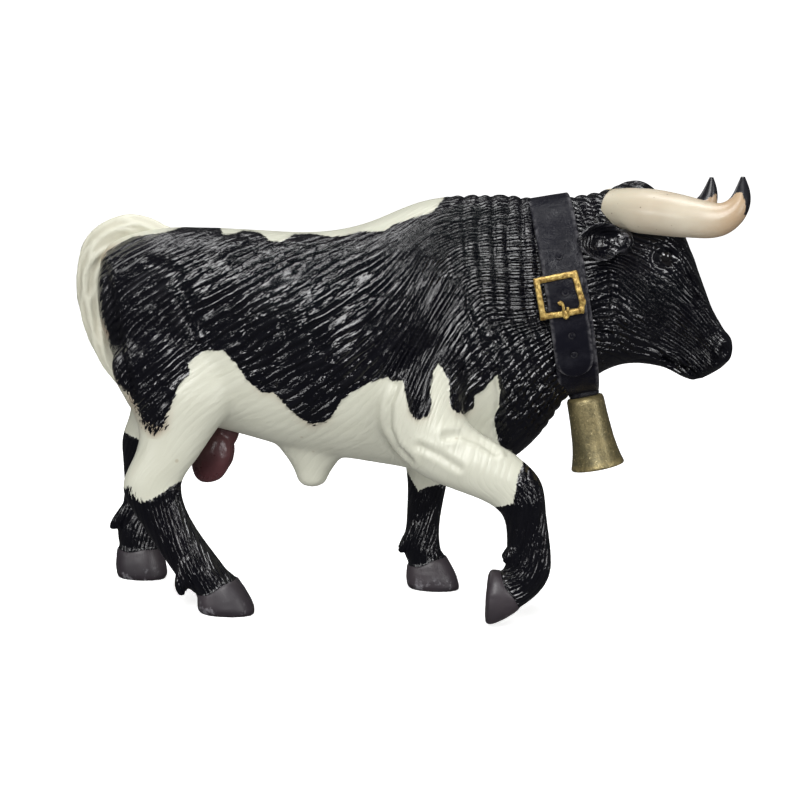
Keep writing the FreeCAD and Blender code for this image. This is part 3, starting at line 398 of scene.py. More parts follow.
def ring(middle, along, across, corners=64, taper=0.0, square=1.0):
    """Points round an oval with half axes along and across, narrower by taper at the far end of along."""
    turn = np.arange(corners) * 2 * math.pi / corners
    ahead = np.sign(np.cos(turn)) * np.abs(np.cos(turn)) ** square
    aside = np.sign(np.sin(turn)) * np.abs(np.sin(turn)) ** square
    narrow = 1 - taper * (1 - np.cos(turn)) / 2
    return middle + np.outer(ahead, along) + np.outer(aside * narrow, across)


def loft(rings):
    """A closed surface through rings of points, as its points and its faces of four corners."""
    rings = np.array(rings)
    count, corners = rings.shape[:2]
    points = np.concatenate((rings.reshape(-1, 3), rings[0].mean(0)[None], rings[-1].mean(0)[None]))
    i, j = np.meshgrid(np.arange(count - 1), np.arange(corners), indexing="ij")
    k = (j + 1) % corners
    base = i * corners
    sides = np.stack((base + j, base + k, base + corners + k, base + corners + j), axis=-1)
    edge = np.arange(corners)
    after = (edge + 1) % corners
    first = np.stack((after, edge, edge * 0 + count * corners, edge * 0 + count * corners), axis=-1)
    base = (count - 1) * corners
    end = edge * 0 + count * corners + 1
    last = np.stack((base + edge, base + after, end, end), axis=-1)
    return points, np.concatenate((sides.reshape(-1, 4), first, last))


def slice_loft(rows, count):
    """A body through slices that stand on the line from low to high in the side view."""
    rings = []
    for top_x, top_z, low_x, low_z, width, taper, square in splined(rows, count):
        top = np.array((top_x, 0.0, top_z))
        low = np.array((low_x, 0.0, low_z))
        across = np.array((0.0, width / 2, 0.0))
        rings.append(ring((top + low) / 2, (top - low) / 2, across, 96, taper, square))
    return loft(rings)


def limb_loft(rows, count):
    """A body through ovals, each with its middle, lean, depth and width."""
    rings = []
    for x, y, z, lean, depth, width in splined(rows, count):
        rings.append(ring(np.array((x, y, z)), slope(lean) * depth / 2, np.array((0.0, width / 2, 0.0))))
    return loft(rings)


def egg(middle, half, turned=0.0, corners=32):
    """An ellipsoid with half sizes along x, y and z, turned in the side view."""
    rings = []
    upward = slope(turned + 90)
    for i in range(corners // 2 + 1):
        turn = math.pi * (i + 0.02) / (corners // 2 + 0.04)
        wide = math.sin(turn)
        rings.append(ring(np.array(middle, float) - upward * half[2] * math.cos(turn),
                          slope(turned) * half[0] * wide, np.array((0.0, half[1] * wide, 0.0)), corners))
    return loft(rings)


def joined(shapes):
    """Several shapes' points and faces as one."""
    points = []
    faces = []
    start = 0
    for some_points, some_faces in shapes:
        points.append(some_points)
        faces.append(some_faces + start)
        start += len(some_points)
    return np.concatenate(points), np.concatenate(faces)


def face_lists(faces):
    """Faces as lists, with a corner that is given twice left out."""
    return [[a, b, c] if c == d else [a, b, c, d] for a, b, c, d in faces.tolist()]


def edges_of(faces):
    """The pairs of points that are joined by an edge, each once."""
    pairs = np.concatenate([faces[:, [i, (i + 1) % 4]] for i in range(4)])
    pairs = np.sort(pairs[pairs[:, 0] != pairs[:, 1]], axis=1)
    return np.unique(pairs, axis=0)


def largest_part(points, faces):
    """The surface without loose bits inside or beside it."""
    edges = edges_of(faces)
    label = np.arange(len(points))
    while True:
        low = np.minimum(label[edges[:, 0]], label[edges[:, 1]])
        lower = label.copy()
        np.minimum.at(lower, edges[:, 0], low)
        np.minimum.at(lower, edges[:, 1], low)
        lower = lower[lower]
        if (lower == label).all():
            break
        label = lower
    main = np.bincount(label).argmax()
    faces = faces[label[faces[:, 0]] == main]
    used, faces = np.unique(faces, return_inverse=True)
    return points[used], faces.reshape(-1, 4)


def fused(shapes, grain):
    """One surface round overlapping shapes, with even square faces of the given size."""
    points, faces = joined(shapes)
    mesh = bpy.data.meshes.new("clay")
    mesh.from_pydata(points.tolist(), [], face_lists(faces))
    clay = bpy.data.objects.new("clay", mesh)
    bpy.context.scene.collection.objects.link(clay)
    remesh = clay.modifiers.new("fuse", "REMESH")
    remesh.mode = "VOXEL"
    remesh.voxel_size = grain
    result = bpy.data.meshes.new_from_object(clay.evaluated_get(bpy.context.evaluated_depsgraph_get()))
    places = np.zeros(len(result.vertices) * 3, np.float32)
    result.vertices.foreach_get("co", places)
    corners = np.zeros(len(result.loops), np.int32)
    result.loops.foreach_get("vertex_index", corners)
    bpy.data.objects.remove(clay)
    for spare in (mesh, result):
        bpy.data.meshes.remove(spare)
    return largest_part(places.reshape(-1, 3).astype(float), corners.reshape(-1, 4).astype(np.int64))


def softened(points, faces, rounds, share=None):
    """The points moved round by round towards the middle of their neighbours, each by its share."""
    edges = edges_of(faces)
    ends = np.concatenate((edges[:, 0], edges[:, 1]))
    others = np.concatenate((edges[:, 1], edges[:, 0]))
    count = np.maximum(np.bincount(ends, minlength=len(points)), 1)[:, None]
    rate = 0.5 if share is None else 0.5 * share[:, None]
    for _ in range(rounds):
        total = np.stack([np.bincount(ends, points[others, i], len(points)) for i in range(3)], axis=1)
        points = points + (total / count - points) * rate
    return points


def moulded(shapes, grain, rounds):
    """One surface round overlapping shapes, softened."""
    points, faces = fused(shapes, grain)
    return softened(points, faces, rounds), faces


def turned_over(faces):
    """Faces with their corners in the other order; a corner that is given twice comes last again."""
    faces = faces[:, ::-1].copy()
    doubled = faces[:, 0] == faces[:, 1]
    faces[doubled] = faces[doubled][:, [1, 2, 3, 3]]
    return faces


def normals_of(points, faces):
    """The outward direction at each point."""
    across = np.cross(points[faces[:, 2]] - points[faces[:, 0]], points[faces[:, 3]] - points[faces[:, 1]])
    total = np.zeros(points.shape)
    for i in range(4):
        for axis in range(3):
            total[:, axis] += np.bincount(faces[:, i], across[:, axis], len(points))
    length = np.maximum(np.linalg.norm(total, axis=1), 1e-12)[:, None]
    return total / length


def grain_noise(places, seed):
    """Smooth random values from -1 to 1, one to each unit of space."""
    base = np.floor(places)
    part = places - base
    part = part * part * (3 - 2 * part)
    base = base.astype(np.int64)
    total = np.zeros(len(places))
    for corner in range(8):
        step = np.array((corner & 1, corner >> 1 & 1, corner >> 2 & 1))
        key = (base + step) @ np.array((73856093, 19349663, 83492791)) + seed * 2654435761
        key = (key ^ (key >> 15)) * 2246822519 & 0xFFFFFFFF
        key = (key ^ (key >> 13)) * 3266489917 & 0xFFFFFFFF
        value = ((key ^ (key >> 16)) & 0xFFFF) / 32767.5 - 1
        weight = np.prod(np.where(step == 1, part, 1 - part), axis=1)
        total += value * weight
    return total


def roughened(points, faces, size, height, seed):
    """The surface with random dents and bumps of the given size and height."""
    return points + normals_of(points, faces) * (grain_noise(points / size, seed) * height)[:, None]


def streaks(points, lay, length, width, seed, samples=13):
    """Random streaks that run along lay, so long and so wide, from about -1 to 1."""
    total = np.zeros(len(points))
    for place in np.linspace(-0.5, 0.5, samples):
        total += grain_noise((points + lay * (place * length)[:, None]) / width, seed)
    return total / (total.std() + 1e-9) / 1.6


def near_line(places, line):
    """Distance in pixels from places in the picture to a line through the given points."""
    line = np.array(line, float)
    best = np.full(len(places), 1e9)
    for one, two in zip(line, line[1:]):
        way = two - one
        along = np.clip(((places - one) @ way) / (way @ way), 0, 1)
        best = np.minimum(best, np.linalg.norm(places - one - along[:, None] * way, axis=1))
    return best


def inside_depth(places, outline):
    """Millimetres inside an outline in the picture, less than zero outside it."""
    outline = np.array(outline + outline[:1], float)
    inside = np.zeros(len(places), bool)
    for (u1, v1), (u2, v2) in zip(outline, outline[1:]):
        if v1 == v2:
            continue
        crossing = (v1 > places[:, 1]) != (v2 > places[:, 1])
        inside ^= crossing & (places[:, 0] < (u2 - u1) * (places[:, 1] - v1) / (v2 - v1) + u1)
    return np.where(inside, 1.0, -1.0) * near_line(places, outline) / PIXELS_PER_MM


def blended(places, table):
    """Lay and length of the hair at places in the picture, blended from the table's nearest rows."""
    table = np.array(table, float)
    away = ((places[:, None, :] - table[None, :, :2]) ** 2).sum(2) + 30.0
    weight = away ** -2.2
    weight /= weight.sum(1, keepdims=True)
    angle = np.radians(table[:, 2] + CAMERA_ROLL)
    return np.arctan2(weight @ np.sin(angle), weight @ np.cos(angle)), weight @ table[:, 3]


def combed(places, table):
    """How far along and across the hair places in the picture are, in millimetres.

    Both are the smooth fields on a grid whose slopes come nearest to the way the hair lies in the table.
    """
    axes = [start + COMB_STEP * np.arange(size) for start, size in zip(COMB_START, COMB_SIZE)]
    grid = np.stack(np.meshgrid(*axes, indexing="ij"), axis=-1).reshape(-1, 2)
    angle = blended(grid, table)[0] - math.radians(CAMERA_ROLL)
    turns = [2 - 2 * np.cos(math.pi * np.arange(2 * size) / size) for size in COMB_SIZE]
    system = turns[0][:, None] + turns[1][None]
    system[0, 0] = 1
    at = np.clip((places - COMB_START) / COMB_STEP, 0, np.array(COMB_SIZE) - 1.001)
    base = at.astype(int)
    part = at - base
    result = []
    unit = COMB_STEP / PIXELS_PER_MM
    for way in ((np.cos(angle), -np.sin(angle)), (-np.sin(angle), -np.cos(angle))):
        way = [share.reshape(COMB_SIZE) for share in way]
        reach = np.full(COMB_SIZE, unit)
        for _ in range(14):
            ahead, down = (share * reach for share in way)
            ahead = (ahead[1:] + ahead[:-1]) / 2
            down = (down[:, 1:] + down[:, :-1]) / 2
            push = np.zeros(COMB_SIZE)
            push[1:] += ahead
            push[:-1] -= ahead
            push[:, 1:] += down
            push[:, :-1] -= down
            whole = np.block([[push, push[:, ::-1]], [push[::-1], push[::-1, ::-1]]])
            level = np.fft.ifft2(np.fft.fft2(whole) / system).real[:COMB_SIZE[0], :COMB_SIZE[1]]
            slopes = np.gradient(level)
            reach = np.clip(slopes[0] * way[0] + slopes[1] * way[1], 0.7 * unit, 1.5 * unit)
        x, y = base.T
        one = level[x, y] * (1 - part[:, 0]) + level[x + 1, y] * part[:, 0]
        two = level[x, y + 1] * (1 - part[:, 0]) + level[x + 1, y + 1] * part[:, 0]
        result.append(one * (1 - part[:, 1]) + two * part[:, 1])
    return result


def combed_noise(comb, length, width, seed):
    """Random strokes along the hair, from about -1 to 1."""
    noise = grain_noise(comb / (length, width, width), seed)
    return noise / (noise.std() + 1e-9) / 1.6


def lay_directions(angle, normal):
    """Unit directions on the surface for angles in the side view."""
    lay = np.stack((np.cos(angle), 0 * angle, np.sin(angle)), axis=1)
    lay -= normal * (lay * normal).sum(1, keepdims=True)
    length = np.linalg.norm(lay, axis=1, keepdims=True)
    return lay / np.maximum(length, 0.05)


def swelled(points, faces, swells):
    """The surface with its muscles raised and its hollows sunk."""
    push = np.zeros(len(points))
    for middle, radii, height in swells:
        for side in (1, -1):
            away = (points - np.array(middle) * (1, side, 1)) / radii
            push += height * np.exp(-(away ** 2).sum(1)) * (0.5 if middle[1] == 0 else 1)
    return points + normals_of(points, faces) * push[:, None]


def creased(points, faces, places, creases):
    """The surface with creases and the low ridges beside them, under lines in the picture."""
    normal = normals_of(points, faces)
    push = np.zeros(len(points))
    facing = np.clip(np.abs(normal[:, 1]) * 1.6, 0, 1)
    for depth, half_width, line in creases:
        away = near_line(places, line) / PIXELS_PER_MM / half_width
        push -= depth * np.exp(-away ** 2) * facing
        push += 0.35 * depth * np.exp(-(away - 2.0) ** 2) * facing
    return points + normal * push[:, None]


def add_values(mesh, name, values):
    """Stores a number, or three, on each point of a mesh."""
    kind = "FLOAT" if values.ndim == 1 else "FLOAT_VECTOR"
    layer = mesh.attributes.new(name, kind, "POINT")
    layer.data.foreach_set("value" if values.ndim == 1 else "vector", values.astype(np.float32).ravel())


def make_piece(name, points, faces, materials, node, values=None, shading=None, face_material=None):
    """Makes an object of a surface in millimetres, dressed, attached to the root, and hides the node that it
    stands for.
    """
    mesh = bpy.data.meshes.new(name)
    rows = faces if isinstance(faces, list) else face_lists(faces)
    mesh.from_pydata(((points + FIGURE_SHIFT) * MM).tolist(), [], rows)
    for key, numbers in (values or {}).items():
        add_values(mesh, key, numbers)
    mesh.polygons.foreach_set("use_smooth", np.ones(len(mesh.polygons), bool))
    for material in materials:
        mesh.materials.append(material)
    if face_material is not None:
        mesh.polygons.foreach_set("material_index", np.array(face_material, np.int32))
    if shading is not None:
        mesh.normals_split_custom_set_from_vertices(shading.tolist())
    mesh.update()
    piece = bpy.data.objects.new(name, mesh)
    bpy.context.scene.collection.objects.link(piece)
    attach(piece, "root")
    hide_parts(node)


# How far inside the surface the middle of a lid lies
LID_DEPTH = 0.5


def cut_out(points, faces, chosen, values, normal):
    """The chosen faces as a closed surface of their own, with a lid inside each place where they were cut."""
    used, numbers = np.unique(faces[chosen], return_inverse=True)
    part = numbers.reshape(-1, 4)
    places = points[used]
    kept = {key: row[used] for key, row in values.items()}
    shading = normal[used]
    directed = np.concatenate([part[:, [i, (i + 1) % 4]] for i in range(4)])
    width = len(used)
    keys = directed[:, 0] * width + directed[:, 1]
    lone = directed[~np.isin(keys, directed[:, 1] * width + directed[:, 0])]
    follow = {}
    for start, end in lone.tolist():
        follow.setdefault(end, []).append(start)
    face_rows = face_lists(part)
    extra = []
    while follow:
        start = next(iter(follow))
        loop = [start]
        at = start
        while True:
            following = follow[at].pop()
            if not follow[at]:
                del follow[at]
            if following == start or following not in follow:
                break
            loop.append(following)
            at = following
        hub = width + len(extra)
        extra.append(places[loop].mean(0) - shading[loop].mean(0) * LID_DEPTH)
        for one, two in zip(loop, loop[1:] + loop[:1]):
            face_rows.append([one, two, hub])
    if extra:
        places = np.concatenate((places, np.array(extra)))
        kept = {key: np.concatenate((row, np.repeat(row[:1], len(extra), axis=0)))
                for key, row in kept.items()}
        shading = np.concatenate((shading, np.repeat(shading[:1], len(extra), axis=0)))
    return places, face_rows, kept, shading


def socket(tree, name, kind, default=None, output=False):
    """Adds an input or an output to a node group."""
    item = tree.interface.new_socket(name=name, in_out="OUTPUT" if output else "INPUT", socket_type=kind)
    if default is not None:
        item.default_value = default


class Board:
    """A short way to place and join nodes in a tree."""

    def __init__(self, tree):
        self.tree = tree

    def put(self, kind, inputs=None, **settings):
        """A new node with its settings, its inputs fed from other nodes or set."""
        node = self.tree.nodes.new(kind)
        for key, value in settings.items():
            setattr(node, key, value)
        for key, value in (inputs or {}).items():
            self.feed(node.inputs[key], value)
        return node

    def feed(self, target, value):
        """Joins an output to an input, or sets the input to a plain value."""
        if isinstance(value, bpy.types.NodeSocket):
            self.tree.links.new(value, target)
        else:
            target.default_value = value

    def calc(self, kind, *values):
        """What a math node of the given kind makes of the values."""
        return self.put("ShaderNodeMath", dict(enumerate(values)), operation=kind).outputs[0]

    def product(self, one, two):
        return self.calc("MULTIPLY", one, two)

    def vector(self, kind, one, other):
        """What a vector math node of the given kind makes of two vectors."""
        return self.put("ShaderNodeVectorMath", {0: one, 1: other}, operation=kind).outputs[0]

    def spread(self, value, low, high, to_low=0.0, to_high=1.0):
        """A value eased from low and high to another range."""
        limits = {"Value": value, "From Min": low, "From Max": high, "To Min": to_low, "To Max": to_high}
        return self.put("ShaderNodeMapRange", limits, interpolation_type="SMOOTHSTEP").outputs[0]

    def noise(self, place, scale, detail=2.0, rough=0.5):
        """Smooth random values over places."""
        inputs = {"Vector": place, "Scale": scale, "Detail": detail, "Roughness": rough}
        return self.put("ShaderNodeTexNoise", inputs).outputs["Fac"]

    def mix(self, share, one, two):
        """One colour or number that gives way to another by a share."""
        return self.put("ShaderNodeMix", {"Factor": share, 6: one, 7: two}, data_type="RGBA").outputs[2]

    def value_of(self, name, output="Fac"):
        """The values that the mesh stores under a name."""
        return self.put("ShaderNodeAttribute", attribute_name=name).outputs[output]

    def group(self, tree, inputs):
        """The outputs of a node group."""
        return self.put("ShaderNodeGroup", inputs, node_tree=tree).outputs

    def bump(self, height, distance):
        """The normals of a surface raised by a height of 0 to 1 times the distance."""
        inputs = {"Height": height, "Distance": distance, "Strength": 1.0}
        return self.put("ShaderNodeBump", inputs).outputs[0]


def new_group(name, vector, numbers, results):
    """A shader group that makes numbers of a vector and some numbers: its tree, board and both ends."""
    tree = bpy.data.node_groups.new(name, "ShaderNodeTree")
    socket(tree, vector, "NodeSocketVector")
    for key, default in numbers.items():
        socket(tree, key, "NodeSocketFloat", default)
    for key in results:
        socket(tree, key, "NodeSocketFloat", output=True)
    board = Board(tree)
    return tree, board, board.put("NodeGroupInput").outputs, board.put("NodeGroupOutput").inputs


def line_group():
    """Grooves along the stored comb that bend, meet and fade, as a height and a mask of the grooves."""
    tree, board, given, out = new_group("Hair lines", "Comb", {"Width": 1.3, "Breaks": 1.0},
                                        ("Height", "Grooves"))
    bend = board.noise(board.vector("MULTIPLY", given["Comb"], (0.075, 0.24, 0.10)), 1.0)
    wander = board.product(board.calc("SUBTRACT", bend, 0.5), 2.0)
    across = board.put("ShaderNodeSeparateXYZ", {"Vector": given["Comb"]}).outputs["Y"]
    phase = board.calc("ADD", board.calc("DIVIDE", across, given["Width"]), wander)
    wave = board.calc("ABSOLUTE", board.calc("SINE", board.product(phase, math.pi)))
    fade = board.noise(board.vector("MULTIPLY", given["Comb"], (0.17, 0.75, 0.3)), given["Breaks"])
    depth = board.spread(fade, 0.36, 0.52, 0.25, 1.0)
    board.feed(out["Height"], board.product(wave, depth))
    board.feed(out["Grooves"], board.product(board.spread(wave, 0.35, 0.0), depth))
    return tree


def speck_group():
    """Small specks of dirt in the paint, the paint's slow changes of shade, and its fine grit."""
    tree, board, given, out = new_group("Paint specks", "Place", {"Size": 900.0, "Amount": 0.5},
                                        ("Specks", "Shade", "Grit"))
    cells = board.put("ShaderNodeTexVoronoi", {"Vector": given["Place"], "Scale": given["Size"]}).outputs
    chance = board.put("ShaderNodeSeparateColor", {"Color": cells["Color"]}).outputs[0]
    rare = board.calc("GREATER_THAN", chance, board.calc("SUBTRACT", 1.0, given["Amount"]))
    board.feed(out["Specks"], board.product(board.spread(cells["Distance"], 0.24, 0.10), rare))
    board.feed(out["Shade"], board.noise(given["Place"], 90.0, 3.0))
    board.feed(out["Grit"], board.noise(given["Place"], given["Size"], 3.0, 0.7))
    return tree


def rub_group():
    """Paint rubbed thin on edges, from the stored edge value, broken up by noise."""
    tree, board, given, out = new_group("Rubbed edges", "Place", {"Size": 700.0, "Amount": 0.5}, ("Rub",))
    grit = board.noise(given["Place"], given["Size"], 4.0, 0.65)
    rub = board.product(board.value_of("edge"), board.spread(grit, 0.38, 0.62))
    board.feed(out["Rub"], board.product(rub, given["Amount"]))
    return tree


# The shader groups that are made, by the functions that make them
SHARED = {}


def made(name, maker, settings):
    """The material of that name, made by the given function if there is none yet."""
    return bpy.data.materials.get(name) or maker(settings)


def shared(maker):
    """The shader group that the given function makes, made once."""
    if maker not in SHARED:
        SHARED[maker] = maker()
    return SHARED[maker]


class Paint(Board):
    """The board of a new material, with its shader's sockets and the places on the piece."""

    def __init__(self, name):
        self.material = bpy.data.materials.new(name)
        self.material.use_nodes = True
        super().__init__(self.material.node_tree)
        self.shader = self.tree.nodes["Principled BSDF"].inputs
        self.place = self.put("ShaderNodeTexCoord").outputs["Object"]

    def specks(self, size, amount):
        """The outputs of the specks' group."""
        return self.group(shared(speck_group), {"Place": self.place, "Size": size, "Amount": amount})

    def rubbed(self, size, amount):
        """How much the edges are rubbed."""
        return self.group(shared(rub_group), {"Place": self.place, "Size": size, "Amount": amount})["Rub"]

    def finished(self, colour, rough, height=None, depth=0.0, steady=None):
        """The material, its shader fed with a colour, a roughness, a bump and values that stay the same."""
        self.feed(self.shader["Base Color"], colour)
        self.feed(self.shader["Roughness"], rough)
        if height is not None:
            self.feed(self.shader["Normal"], self.bump(height, depth))
        for key, value in (steady or {}).items():
            self.shader[key].default_value = value
        return self.material


AGED_CREAM = (0.42, 0.41, 0.33, 1)
SPRAYED_BROWN = (0.235, 0.135, 0.07, 1)
DIRT = (0.25, 0.18, 0.09, 1)
HOOF_GREYS = (0.024, 0.019, 0.024, 1), (0.043, 0.034, 0.040, 1)
SCUFF = (0.25, 0.24, 0.26, 1)


def grey(value):
    """A grey from 0 to 1 as a colour."""
    return (value, value, value, 1)


def hide_paint(settings):
    """Black and cream paint over combed hair, with brown sprayed beside the black, and grey hooves."""
    board = Paint("painted_hide")
    comb = board.value_of("comb", "Vector")
    long = board.group(shared(line_group), {"Comb": comb, "Width": 1.30})
    short = board.group(shared(line_group), {"Comb": comb, "Width": 0.92, "Breaks": 1.5})
    specks = board.specks(420.0, 0.05)
    coat = board.value_of("coat")
    hairy = board.value_of("hairy")
    length = board.value_of("long")
    ridges = board.mix(length, short["Height"], long["Height"])
    grooves = board.mix(length, short["Grooves"], long["Grooves"])
    streaked = board.vector("MULTIPLY", comb, (0.28, 2.3, 2.3))
    ragged = board.calc("SUBTRACT", board.noise(streaked, 1.0, 3.0, 0.6), 0.5)
    raggedness = board.calc("MULTIPLY_ADD", board.value_of("brushed"), 9.0, 0.7)
    black = board.spread(board.calc("MULTIPLY_ADD", ragged, raggedness, coat), -0.12, 0.12)
    # cream, with painted shade that makes it darker and greener in the grooves, and the sprayed brown beside
    # the black
    hollow = board.spread(board.value_of("relief"), -2.0, 0.4, 0.7, 1.0)
    unshaded = board.calc("MULTIPLY_ADD", board.product(grooves, hairy), -0.55, hollow)
    cream = board.mix(unshaded, tuple(settings.groove_shade_cream), tuple(settings.cream))
    cream = board.mix(board.product(board.spread(specks["Shade"], 0.45, 0.75), 0.15), cream, AGED_CREAM)
    brown = board.product(board.spread(coat, -2.2, 0.1), board.value_of("sprayed"))
    cream = board.mix(board.product(brown, 0.75), cream, SPRAYED_BROWN)
    cream = board.mix(board.product(specks["Specks"], 0.4), cream, DIRT)
    # black, greyer on the tops of the ridges, partly rubbed wear and partly painted highlight
    patches = board.spread(board.noise(streaked, 0.30, 4.0, 0.6), 0.30, 0.70)
    worn = board.product(board.product(ridges, board.value_of("worn")), patches)
    ink = board.mix(worn, tuple(settings.black), tuple(settings.worn_black))
    # grey horn with pale scuffs by the ground
    horny = board.spread(board.value_of("hoof"), -0.08, 0.08)
    height = board.put("ShaderNodeSeparateXYZ", {"Vector": board.place}).outputs["Z"]
    chips = board.spread(board.noise(board.place, 260.0, 4.0, 0.7), 0.54, 0.66)
    scuffed = board.product(board.spread(height, 0.0045, 0.0002), chips)
    horn = board.mix(board.spread(specks["Shade"], 0.3, 0.7), *HOOF_GREYS)
    horn = board.mix(board.product(scuffed, 0.8), horn, SCUFF)
    colour = board.mix(horny, board.mix(black, cream, ink), horn)
    rough = board.mix(worn, board.mix(black, grey(0.42), grey(0.13)), grey(0.40))
    rough = board.mix(horny, rough, grey(0.46))
    rough = board.calc("ADD", rough, board.product(board.calc("SUBTRACT", specks["Grit"], 0.5), 0.14))
    strokes = board.product(board.calc("MULTIPLY_ADD", ragged, 0.35, ridges), hairy)
    strokes = board.product(strokes, board.calc("SUBTRACT", 1.0, horny))
    return board.finished(colour, rough, strokes, settings.bump_height * MM, {"Specular IOR Level": 0.62})


def eye_paint():
    """Wet black for the eyes."""
    board = Paint("painted_eye")
    colour = board.mix(board.noise(board.place, 500.0), (0.004, 0.004, 0.005, 1), (0.014, 0.012, 0.012, 1))
    return board.finished(colour, 0.08, steady={"Coat Weight": 0.6})


def horn_paint(settings):
    """Ivory, dirty at the root and along the seam, warmer towards the black tip."""
    board = Paint("painted_horn")
    specks = board.specks(1100.0, 0.05)
    ivory = board.mix(board.spread(specks["Shade"], 0.30, 0.70), tuple(settings.ivory), (0.48, 0.41, 0.31, 1))
    ivory = board.mix(board.product(board.value_of("root"), 0.65), ivory, (0.50, 0.46, 0.35, 1))
    ivory = board.mix(board.product(specks["Specks"], 0.75), ivory, (0.13, 0.09, 0.06, 1))
    broken = board.spread(board.noise(board.place, 300.0, 3.0), 0.4, 0.6, 0.15, 0.6)
    ivory = board.mix(board.product(board.value_of("seam"), broken), ivory, (0.40, 0.31, 0.22, 1))
    ragged = board.calc("SUBTRACT", board.noise(board.place, 700.0), 0.5)
    tip = board.calc("MULTIPLY_ADD", ragged, 1.6, board.value_of("tip"))
    ivory = board.mix(board.spread(tip, -6.0, -1.0, 0.0, 0.9), ivory, (0.40, 0.28, 0.17, 1))
    colour = board.mix(board.spread(tip, -0.12, 0.12), ivory, (0.010, 0.010, 0.013, 1))
    return board.finished(colour, board.spread(specks["Grit"], 0.2, 0.8, 0.26, 0.40),
                          board.noise(board.place, 420.0, 4.0), 0.00005,
                          {"Subsurface Weight": 0.05, "Subsurface Radius": (0.002, 0.0012, 0.0008)})


def tail_paint(settings):
    """White, with painted shade that makes it darker and greener between the locks."""
    board = Paint("painted_tail")
    colour = board.mix(board.spread(board.value_of("relief"), -1.1, 0.3), (0.42, 0.40, 0.31, 1),
                       tuple(settings.white))
    return board.finished(colour, board.spread(board.specks(700.0, 0.05)["Grit"], 0.2, 0.8, 0.38, 0.52),
                          board.noise(board.place, 900.0, 3.0), 0.00006)


def scrotum_paint(settings):
    """Dark red in two shades."""
    board = Paint("painted_dark_red")
    specks = board.specks(300.0, 0.1)
    colour = board.mix(board.spread(specks["Shade"], 0.3, 0.7), tuple(settings.dark_red),
                       (0.085, 0.030, 0.033, 1))
    return board.finished(colour, board.spread(specks["Grit"], 0.2, 0.8, 0.24, 0.36),
                          board.noise(board.place, 260.0, 4.0), 0.0002)


def leather_paint(settings):
    """Black with a leather grain, greyer and glossier in patches, and rubbed on its edges."""
    board = Paint("painted_leather")
    patches = board.spread(board.noise(board.place, 150.0, 3.0, 0.6), 0.46, 0.72)
    colour = board.mix(board.product(patches, 0.18), tuple(settings.leather), (0.060, 0.060, 0.068, 1))
    colour = board.mix(board.rubbed(620.0, 0.8), colour, (0.10, 0.098, 0.105, 1))
    rough = board.spread(board.specks(800.0, 0.15)["Grit"], 0.2, 0.8, 0.30, 0.42)
    rough = board.calc("MULTIPLY_ADD", patches, -0.30, rough)
    grain = board.put("ShaderNodeTexVoronoi", {"Vector": board.place, "Scale": 2600.0},
                      feature="DISTANCE_TO_EDGE")
    pores = board.product(board.spread(grain.outputs["Distance"], 0.0, 0.22), 0.25)
    height = board.calc("MULTIPLY_ADD", board.noise(board.place, 350.0, 3.0), 5.0, pores)
    return board.finished(colour, rough, height, 0.00008, {"Specular IOR Level": 0.11})


def gold_paint(settings):
    """Mottled gold with bright specks, and dark specks that the paint missed."""
    board = Paint("painted_gold")
    mottled = board.noise(board.place, 1100.0, 4.0, 0.7)
    missed = board.spread(board.noise(board.place, 480.0, 5.0, 0.8), 0.66, 0.70)
    colour = board.mix(board.spread(mottled, 0.35, 0.62), (0.20, 0.115, 0.025, 1), tuple(settings.gold))
    colour = board.mix(board.spread(mottled, 0.62, 0.72), colour, (0.80, 0.66, 0.32, 1))
    colour = board.mix(missed, colour, (0.02, 0.017, 0.014, 1))
    rough = board.spread(board.specks(1500.0, 0.5)["Grit"], 0.2, 0.8, 0.26, 0.50)
    return board.finished(colour, rough, mottled, 0.00016, {"Metallic": 0.55})


def bronze_paint(settings):
    """Dull speckled bronze, brighter where its edges are rubbed."""
    board = Paint("painted_bronze")
    fine = board.noise(board.place, 1900.0, 2.0, 0.8)
    coarse = board.noise(board.place, 170.0, 3.0, 0.6)
    shade = board.calc("MULTIPLY_ADD", coarse, 0.45, board.product(fine, 0.55))
    colour = board.mix(board.spread(shade, 0.36, 0.64), (0.125, 0.110, 0.058, 1), tuple(settings.bronze))
    colour = board.mix(board.spread(fine, 0.64, 0.74), colour, (0.60, 0.52, 0.30, 1))
    colour = board.mix(board.rubbed(500.0, 0.6), colour, (0.55, 0.44, 0.20, 1))
    return board.finished(colour, board.spread(fine, 0.3, 0.7, 0.34, 0.52), fine, 0.00005, {"Metallic": 0.6})


def paper():
    """The stage's matt white, which glows towards the back so that it has no visible end."""
    board = Paint("white_paper")
    away = board.put("ShaderNodeVectorMath", {0: board.place}, operation="LENGTH").outputs["Value"]
    board.feed(board.shader["Emission Strength"], board.spread(away, 0.12, 0.7, 0.70, 0.95))
    for key, value in (("Base Color", grey(0.9)), ("Roughness", 0.9), ("Emission Color", grey(1))):
        board.shader[key].default_value = value
    return board.material


def along_limb(points, rows):
    """How the nearest stretch of a limb runs in the side view, and how far down and beside it points are."""
    line = splined(rows, 60)[:, :3]
    middle = (line[1:] + line[:-1]) / 2
    way = line[1:] - line[:-1]
    nearest = ((points[:, None, :] - middle[None]) ** 2).sum(2).argmin(1)
    length = np.linalg.norm(way, axis=1)
    reach = np.cumsum(length) - length / 2
    unit = way[:, (0, 2)] / np.linalg.norm(way[:, (0, 2)], axis=1)[:, None]
    away = (points - middle[nearest])[:, (0, 2)]
    unit = unit[nearest]
    down = reach[nearest] + (away * unit).sum(1)
    return np.arctan2(unit[:, 1], unit[:, 0]), down, away[:, 1] * unit[:, 0] - away[:, 0] * unit[:, 1]


def smooth_step(value, low, high):
    """A share that eases from 0 at low to 1 at high; high may be the smaller one."""
    share = np.clip((value - low) / (high - low), 0, 1)
    return share * share * (3 - 2 * share)


